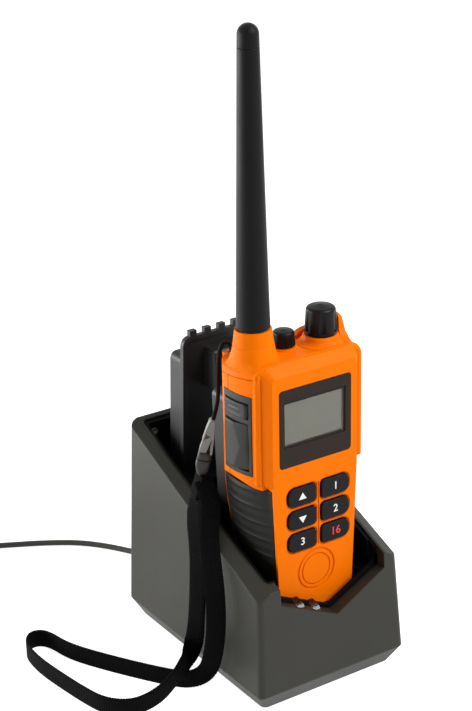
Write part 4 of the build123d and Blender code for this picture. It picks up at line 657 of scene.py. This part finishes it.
# ======================================================================= dark border and sleeve round the display, painted shade at its edges
WINDOW_X = (-20.0, 18.6)
WINDOW_Z = (140.0, 165.2)
WINDOW_FRONT = -50.35
WINDOW_LEDGE = 0.8
LCD_FRONT = -48.6
BORDER_INSET = 0.1
BORDER_WIDTH = 1.1
BORDER_PROUD = (0.05, 0.01)     # its front and its back, before the window
SLEEVE_GAP = 0.03               # inside the window's ledge
SLEEVE_WALL = 0.3
SLEEVE_PROUD = (0.72, 0.05)     # its front and its back, before the display


def rectangle_ring(name, inset, border, front, back):
    """A thin frame parallel to the face, set in from the window's edges."""
    vertices = []
    for y in (front, back):
        for step in (inset, inset + border):
            left, right = WINDOW_X[0] + step, WINDOW_X[1] - step
            low, high = WINDOW_Z[0] + step, WINDOW_Z[1] - step
            vertices += [(left, y, low), (right, y, low), (right, y, high), (left, y, high)]
    faces = []
    for corner in range(4):
        after = (corner + 1) % 4
        for first, second in ((0, 4), (4, 12), (12, 8), (8, 0)):
            faces.append((first + corner, first + after, second + after, second + corner))
    return mesh_object(name, vertices, faces, smooth=False)


# A dark ring on the window's front: painted shade at the display's inner edges.
display_shade_border = rectangle_ring(
    "display_shade_border", BORDER_INSET, BORDER_WIDTH, *(WINDOW_FRONT - proud for proud in BORDER_PROUD),
)
# A dark sleeve inside the window's ledge, which darkens the opening's walls as painted shade.
display_shade_sleeve = rectangle_ring(
    "display_shade_sleeve", WINDOW_LEDGE + SLEEVE_GAP, SLEEVE_WALL, *(LCD_FRONT - proud for proud in SLEEVE_PROUD),
)


# ======================================================================= lanyard clip and stitched strap end
CLIP_TOP = Vector((-36.6, -11.9, 146.6))
CLIP_BOTTOM = Vector((-39.5, -3.5, 113.0))
VIEW_RIGHT = Vector((0.84, -0.54, 0))      # the photograph's right, along the floor
CLIP_DOWN = (CLIP_BOTTOM - CLIP_TOP).normalized()
CLIP_ACROSS = (VIEW_RIGHT - CLIP_DOWN * VIEW_RIGHT.dot(CLIP_DOWN)).normalized()
CLIP_DEEP = CLIP_DOWN.cross(CLIP_ACROSS)


def on_clip(across, down, deep):
    """A point on the clip, from the middle of its top."""
    return CLIP_TOP + CLIP_ACROSS * across + CLIP_DOWN * down + CLIP_DEEP * deep


def clip_plates(name, plates):
    """Flat plates in the clip's plane, each an outline of (across, down) with a thickness."""
    vertices, faces = [], []
    for outline, thickness in plates:
        first, count = len(vertices), len(outline)
        for deep in (-thickness / 2, thickness / 2):
            vertices += [on_clip(across, down, deep) for across, down in outline]
        faces.append(tuple(range(first, first + count)))
        faces.append(tuple(range(first + 2 * count - 1, first + count - 1, -1)))
        for index in range(count):
            after = (index + 1) % count
            faces.append((first + index, first + after, first + count + after, first + count + index))
    return mesh_object(name, vertices, faces, smooth=False)


def clip_loft(name, sections, sides=28, power=3.2):
    """Rounded sections along the clip, each (down, across centre, width, depth)."""
    vertices = []
    for down, centre, width, depth in sections:
        for index in range(sides):
            angle = 2 * pi * index / sides
            across = abs(cos(angle)) ** (2 / power) * (1 if cos(angle) > 0 else -1)
            deep = abs(sin(angle)) ** (2 / power) * (1 if sin(angle) > 0 else -1)
            vertices.append(on_clip(centre + across * width / 2, down, deep * depth / 2))
    return mesh_object(name, vertices, tube_faces(len(sections), sides))


clip_yoke = clip_plates("clip_yoke", (
    ([(-1.7, 0.4), (-0.7, -0.6), (1.0, -0.5), (2.2, 9.4), (1.0, 9.6), (-2.0, 8.0), (-2.7, 6.6)], 4.2),
    ([(-2.7, 6.4), (-2.0, 8.0), (-2.5, 12.4), (-3.3, 12.6)], 3.4),
    ([
        (0.9, 9.4), (2.2, 9.3), (1.2, 12.2), (-0.3, 20.8),
        (-3.7, 20.8), (-3.7, 17.6), (-3.0, 12.3), (-1.6, 11.2),
    ], 3.0),
    ([(1.5, 9.6), (2.3, 9.3), (3.2, 20.0), (2.5, 21.2), (1.9, 20.2)], 3.6),
))
clip_collar = clip_loft("clip_collar", (
    (20.0, -0.9, 5.6, 4.4), (20.7, -0.7, 6.6, 5.0), (23.4, -0.4, 7.4, 5.4), (24.0, -0.4, 7.1, 5.2),
))
clip_seam = clip_loft("clip_seam", ((23.8, -0.4, 6.6, 4.8), (25.0, -0.4, 6.6, 4.8)))
clip_cap = clip_loft("clip_cap", (
    (24.6, -0.4, 7.2, 5.2), (25.0, -0.4, 7.6, 5.5), (28.5, -0.4, 7.6, 5.5), (31.5, -0.2, 6.4, 5.0),
    (33.6, 0.0, 4.6, 4.0), (34.6, 0.1, 2.8, 2.8), (34.9, 0.1, 1.4, 1.6),
))
END_WIDE = (0.16, 0.98, 0.1)
END_LAP = 1.4               # how far it reaches up into the clip
END_WIDTH = 8.6
END_THICKNESS = 2.9
end_route = [
    (CLIP_BOTTOM - CLIP_DOWN * END_LAP, END_WIDE), ((-39.5, -1.8, 108.0), END_WIDE),
    ((-39.9, 0.4, 103.5), END_WIDE), ((-40.2, 1.8, 99.2), END_WIDE),
]
stitched_end, _ = webbing("stitched_end", end_route, width=END_WIDTH, thickness=END_THICKNESS)


# ======================================================================= materials
BEVEL_SAMPLES = 4
SMUDGE_RANGE = (0.3, 0.7)   # the part of a noise's values that changes the gloss
ACRYLIC_IOR = 1.49


def new_material(name):
    """A new material, its nodes and links, its shader, and the piece's own coordinates."""
    made = bpy.data.materials.new(name)
    made.use_nodes = True
    nodes = made.node_tree.nodes
    place = nodes.new("ShaderNodeTexCoord").outputs["Object"]
    return made, nodes, made.node_tree.links, nodes["Principled BSDF"], place


def noise(nodes, links, source, grain, detail=2.0, roughness=0.5):
    """Noise whose features are about grain millimetres across."""
    node = nodes.new("ShaderNodeTexNoise")
    node.inputs["Scale"].default_value = 1 / (grain * MM)
    node.inputs["Detail"].default_value = detail
    node.inputs["Roughness"].default_value = roughness
    links.new(source, node.inputs["Vector"])
    return node.outputs["Fac"]


def remap(nodes, links, value, low, high, new_low, new_high):
    """A value stretched from low..high to new_low..new_high."""
    node = nodes.new("ShaderNodeMapRange")
    for socket, number in zip(("From Min", "From Max", "To Min", "To Max"), (low, high, new_low, new_high)):
        node.inputs[socket].default_value = number
    links.new(value, node.inputs["Value"])
    return node.outputs["Result"]


def shade(colour, factor):
    """A colour made darker or lighter."""
    return tuple(min(1.0, c * factor) for c in colour)


def mix_colours(nodes, links, value, first, second):
    """The first colour where the value is 0 and the second where it is 1."""
    node = nodes.new("ShaderNodeMix")
    node.data_type = "RGBA"
    links.new(value, node.inputs["Factor"])
    node.inputs["A"].default_value = (*first, 1)
    node.inputs["B"].default_value = (*second, 1)
    return node.outputs["Result"]


def bump(nodes, links, height, depth, below=None):
    """A bump of the given depth in millimetres, on top of the normal below it."""
    node = nodes.new("ShaderNodeBump")
    node.inputs["Distance"].default_value = depth * MM
    links.new(height, node.inputs["Height"])
    if below is not None:
        links.new(below, node.inputs["Normal"])
    return node.outputs["Normal"]


def rounded_edges(nodes, radius):
    """A normal that rounds the piece's edges by a radius in millimetres."""
    node = nodes.new("ShaderNodeBevel")
    node.samples = BEVEL_SAMPLES
    node.inputs["Radius"].default_value = radius * MM
    return node.outputs["Normal"]


def moulded(
    name, colour, rough, grain=0.35, grain_depth=0.02, mottle=0.06, edge=0.35, sheen=0.0, specular=0.5,
    gloss_spread=0.06,
):
    """Moulded plastic or rubber: fine grain, uneven gloss, faint mottling and softly broken edges."""
    made, nodes, links, shader, place = new_material(name)
    fine = noise(nodes, links, place, grain, detail=3.0)
    broad = noise(nodes, links, place, 14.0, detail=3.0)
    smudge = noise(nodes, links, place, 45.0, detail=4.0, roughness=0.6)
    links.new(
        mix_colours(nodes, links, broad, shade(colour, 1 - mottle), shade(colour, 1 + mottle)),
        shader.inputs["Base Color"],
    )
    gloss = remap(nodes, links, smudge, *SMUDGE_RANGE, rough - gloss_spread, rough + gloss_spread)
    links.new(gloss, shader.inputs["Roughness"])
    links.new(bump(nodes, links, fine, grain_depth, rounded_edges(nodes, edge)), shader.inputs["Normal"])
    shader.inputs["Sheen Weight"].default_value = sheen
    shader.inputs["Specular IOR Level"].default_value = specular
    return made


def metal(name, colour, rough, gloss_spread=0.08, mark_depth=0.01, edge=0.15):
    """Plated metal with fine turning marks."""
    made, nodes, links, shader, place = new_material(name)
    marks = noise(nodes, links, place, 0.12, detail=4.0)
    broad = noise(nodes, links, place, 3.0)
    links.new(mix_colours(nodes, links, broad, shade(colour, 0.88), colour), shader.inputs["Base Color"])
    gloss = remap(nodes, links, marks, *SMUDGE_RANGE, rough - gloss_spread, rough + gloss_spread)
    links.new(gloss, shader.inputs["Roughness"])
    links.new(bump(nodes, links, marks, mark_depth, rounded_edges(nodes, edge)), shader.inputs["Normal"])
    shader.inputs["Metallic"].default_value = 1.0
    return made


def thread_bands(nodes, links, cloth, direction, pitch, distortion, detail_scale=1.0):
    """Bands a pitch apart, in millimetres of the cloth, slightly uneven."""
    node = nodes.new("ShaderNodeTexWave")
    node.bands_direction = direction
    node.inputs["Scale"].default_value = pi / (10 * pitch)     # the node has 10 / pi bands to a unit
    node.inputs["Distortion"].default_value = distortion
    node.inputs["Detail Scale"].default_value = detail_scale
    links.new(cloth, node.inputs["Vector"])
    return node.outputs["Fac"]


def woven(name, colour, rib_pitch=1.5, thread_pitch=1.1, fuzz_share=0.5, relief_depth=0.25):
    """Woven webbing: ribs across its width and warp threads along it, from the piece's cloth coordinates."""
    made, nodes, links, shader, place = new_material(name)
    cloth = nodes.new("ShaderNodeUVMap")
    cloth.uv_map = "cloth"
    ribs = thread_bands(nodes, links, cloth.outputs["UV"], "X", rib_pitch, 1.2, detail_scale=2.0)
    threads = thread_bands(nodes, links, cloth.outputs["UV"], "Y", thread_pitch, 0.8)
    crossing = nodes.new("ShaderNodeMath")
    crossing.operation = "MULTIPLY"
    links.new(ribs, crossing.inputs[0])
    links.new(threads, crossing.inputs[1])
    relief = nodes.new("ShaderNodeMath")
    relief.operation = "MULTIPLY_ADD"
    links.new(noise(nodes, links, place, 0.25, detail=4.0), relief.inputs[0])
    relief.inputs[1].default_value = fuzz_share
    links.new(crossing.outputs[0], relief.inputs[2])
    links.new(
        mix_colours(nodes, links, relief.outputs[0], shade(colour, 0.45), shade(colour, 1.5)),
        shader.inputs["Base Color"],
    )
    links.new(bump(nodes, links, relief.outputs[0], relief_depth), shader.inputs["Normal"])
    shader.inputs["Roughness"].default_value = 0.75
    shader.inputs["Sheen Weight"].default_value = 0.01
    shader.inputs["Sheen Roughness"].default_value = 0.4
    shader.inputs["Specular IOR Level"].default_value = 0.03
    return made


def clear_plastic(name, tint, rough, specular, gloss_spread=0.06):
    """Clear acrylic with a faint, uneven haze."""
    made, nodes, links, shader, place = new_material(name)
    haze = noise(nodes, links, place, 1.2, detail=3.0)
    gloss = remap(nodes, links, haze, *SMUDGE_RANGE, rough, rough + gloss_spread)
    links.new(gloss, shader.inputs["Roughness"])
    shader.inputs["Base Color"].default_value = (*tint, 1)
    shader.inputs["Transmission Weight"].default_value = 1.0
    shader.inputs["IOR"].default_value = ACRYLIC_IOR
    shader.inputs["Specular IOR Level"].default_value = specular
    return made


finish = {
    "housing_grey": moulded("housing_grey", (0.015, 0.0145, 0.010), 0.47, grain=0.5, edge=1.2, specular=0.30),
    "plinth_grey": moulded("plinth_grey", (0.020, 0.019, 0.016), 0.50, grain=0.5, edge=1.0, specular=0.32),
    "bay_black": moulded("bay_black", (0.004, 0.004, 0.004), 0.4, grain_depth=0.008, specular=0.05),
    "foot_rubber": moulded("foot_rubber", (0.012, 0.012, 0.012), 0.8, grain_depth=0.05, specular=0.2),
    "screw_steel": metal("screw_steel", (0.52, 0.51, 0.49), 0.34),
    "circuit_green": moulded("circuit_green", (0.02, 0.12, 0.05), 0.4),
    "contact_brass": metal("contact_brass", (0.83, 0.63, 0.30), 0.25),
    "clear_pipe": clear_plastic("clear_pipe", (0.05, 0.05, 0.05), 0.14, 0.3),
    "cable_black": moulded("cable_black", (0.045, 0.044, 0.038), 0.45, grain=0.6, specular=0.3),
    "shell_orange": moulded(
        "shell_orange", (0.90, 0.170, 0.0), 0.42, grain=0.4, grain_depth=0.008, mottle=0.02, specular=0.05,
    ),
    "seal_black": moulded("seal_black", (0.008, 0.008, 0.008), 0.7, specular=0.1),
    "grip_black": moulded(
        "grip_black", (0.008, 0.008, 0.007), 0.50, grain=0.45, grain_depth=0.02, specular=0.16,
    ),
    "bezel_brown": moulded("bezel_brown", (0.024, 0.017, 0.014), 0.36, grain_depth=0.006, specular=0.07),
    "window_clear": clear_plastic("window_clear", (0.93, 0.94, 0.90), 0.02, 0.2),
    "lcd_grey": moulded(
        "lcd_grey", (0.075, 0.071, 0.040), 0.5, grain=0.2, grain_depth=0.0, mottle=0.02, specular=0.03,
    ),
    "key_black": moulded("key_black", (0.006, 0.006, 0.007), 0.45, grain_depth=0.012, specular=0.10),
    "panel_black": moulded("panel_black", (0.008, 0.008, 0.007), 0.50, grain_depth=0.015, specular=0.33),
    "knob_black": moulded("knob_black", (0.005, 0.005, 0.005), 0.36, grain_depth=0.010, specular=0.12),
    "antenna_black": moulded(
        "antenna_black", (0.004, 0.004, 0.004), 0.45, grain=0.6, sheen=0.06, specular=0.09,
    ),
    "pack_black": moulded(
        "pack_black", (0.006, 0.005, 0.005), 0.45, grain=0.5, grain_depth=0.02, specular=0.34,
    ),
    "cell_grey": moulded("cell_grey", (0.25, 0.25, 0.26), 0.4),
    "cord_black": moulded(
        "cord_black", (0.004, 0.004, 0.004), 0.65, grain=0.25, grain_depth=0.08, specular=0.08,
    ),
    # The clip is one grey plastic. Its yoke's finish is made lighter as painted light, and the darker finish
    # of its collar and cap is painted shade.
    "clip_grey": moulded("clip_grey", (0.26, 0.26, 0.25), 0.4, grain_depth=0.01, specular=0.3),
    "clip_painted_shade": moulded("clip_painted_shade", (0.035, 0.034, 0.033), 0.4, grain_depth=0.01, specular=0.2),
    "webbing_black": woven("webbing_black", (0.0035, 0.0035, 0.004)),
    "legend_white": moulded("legend_white", (0.80, 0.80, 0.76), 0.5, grain_depth=0.0, edge=0.02),
    "legend_red": moulded("legend_red", (0.72, 0.03, 0.02), 0.5, grain_depth=0.0, edge=0.02),
}
# The record's slot of each CAD node.
slot_of = {entry["node"]: entry["material_slot"] for entry in frame["record"]["subparts"]}


def paint(piece, finish_name):
    """Gives a piece its finish."""
    piece.data.materials.clear()
    piece.data.materials.append(finish[finish_name])


for node_name, node in frame["nodes"].items():
    for material_slot in node.material_slots:
        material_slot.material = finish[slot_of[node_name]]
for finish_name, pieces in (
    ("cable_black", (charger_lead,)),
    ("webbing_black", (strap, stitched_end)),
    ("cord_black", (loop_cord,)),
    ("panel_black", (talk_key, side_key)),
    ("grip_black", grips),
    ("shell_orange", (*rails, frame_roll, cone_skirt)),
    ("bezel_brown", (display_shade_border, display_shade_sleeve)),
    # The clip's yoke is lightened as painted light, and its collar and cap are darkened as painted shade.
    ("clip_grey", (clip_yoke,)),
    ("clip_painted_shade", (clip_collar, clip_cap)),
    ("seal_black", (clip_seam,)),
):
    for piece in pieces:
        paint(piece, finish_name)
for label, legend in legends.items():
    paint(legend, "legend_red" if label == "call" else "legend_white")


# ======================================================================= bodies, replaced nodes and cords
def metres(places):
    """A line's points as plain tuples in metres."""
    return [tuple(place * MM) for place in places]


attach(charger_lead, "charger")
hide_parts("charger_lead", "lead_coil", "lead_tail")
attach(talk_key, "talk_button")
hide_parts("ptt_button")
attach(side_key, "light_button")
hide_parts("side_button")
for grip, node_name in zip(grips, ("grip_left", "grip_right")):
    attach(grip, "radio")
    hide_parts(node_name)
for label, legend in legends.items():
    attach(legend, f"key_{label}_cap")
for piece in (*rails, frame_roll, cone_skirt, display_shade_border, display_shade_sleeve):
    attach(piece, "radio")
for piece in (clip_yoke, clip_collar, clip_seam, clip_cap, stitched_end):
    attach(piece, "radio")
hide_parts("lanyard_clip_upper")
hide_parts("lanyard_clip_lower")
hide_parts("strap_end")
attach(loop_cord, "radio")
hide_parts("lanyard_loop")
mm(*lanyard_route[0])[:]
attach(strap, "radio")
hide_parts("wrist_strap")
mm(*strap_route[0][0])[:]
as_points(metres(strap_line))


# ======================================================================= floor, light and background
FLOOR_REACH = 6.0           # metres, to each side
FLOOR_GLOW = 0.84           # seen directly or mirrored, above the light that falls on the floor
WORLD_WHITE = 1.0           # seen directly or mirrored
WORLD_LEVEL = 0.20          # the light that it gives
# Each lamp's name, place, aim, size and power in watts.
LAMPS = (
    ("left_box", (-820, 760, 230), (0, 0, 110), (1300, 460), 19),
    ("key_box", (460, -760, 980), (0, 0, 120), (800, 800), 17.6),
)


def make_floor():
    """A pale floor that the camera and reflections see as white, with the object's shadow kept."""
    data = bpy.data.meshes.new("floor")
    corners = [(x * FLOOR_REACH, y * FLOOR_REACH, 0) for x, y in ((-1, -1), (1, -1), (1, 1), (-1, 1))]
    data.from_pydata(corners, [], [(0, 1, 2, 3)])
    floor = add_object("floor", data)
    made, nodes, links, shader, place = new_material("floor_white")
    links.new(
        mix_colours(nodes, links, noise(nodes, links, place, 60.0), (0.80, 0.80, 0.79), (0.82, 0.82, 0.81)),
        shader.inputs["Base Color"],
    )
    shader.inputs["Roughness"].default_value = 0.9
    shader.inputs["Specular IOR Level"].default_value = 0.0
    shader.inputs["Emission Color"].default_value = (1, 1, 1, 1)
    links.new(direct_view(nodes, links, FLOOR_GLOW, 0.0), shader.inputs["Emission Strength"])
    data.materials.append(made)


def direct_view(nodes, links, seen, unseen):
    """One value for the camera, reflections and clear pieces, another for the light on the object."""
    path = nodes.new("ShaderNodeLightPath")
    total = path.outputs["Is Camera Ray"]
    for ray in ("Is Glossy Ray", "Is Transmission Ray"):
        larger = nodes.new("ShaderNodeMath")
        larger.operation = "MAXIMUM"
        links.new(total, larger.inputs[0])
        links.new(path.outputs[ray], larger.inputs[1])
        total = larger.outputs[0]
    return remap(nodes, links, total, 0, 1, unseen, seen)


def make_world():
    """A white background that lights the object more weakly than it looks."""
    world = bpy.data.worlds.new("studio")
    bpy.context.scene.world = world
    world.use_nodes = True
    nodes, links = world.node_tree.nodes, world.node_tree.links
    background = nodes["Background"]
    background.inputs["Color"].default_value = (1, 1, 1, 1)
    links.new(direct_view(nodes, links, WORLD_WHITE, WORLD_LEVEL), background.inputs["Strength"])


def area_light(name, place, aim, size, power):
    """A soft rectangular lamp at place, in millimetres, turned towards aim."""
    data = bpy.data.lights.new(name, "AREA")
    data.shape = "RECTANGLE"
    data.size, data.size_y = (side * MM for side in size)
    data.energy = power
    lamp = bpy.data.objects.new(name, data)
    lamp.location = mm(*place)
    lamp.rotation_euler = (Vector(aim) - Vector(place)).to_track_quat("-Z", "Y").to_euler()
    bpy.context.collection.objects.link(lamp)


make_floor()
make_world()
for lamp in LAMPS:
    area_light(*lamp)
bpy.context.scene.view_settings.view_transform = "Standard"
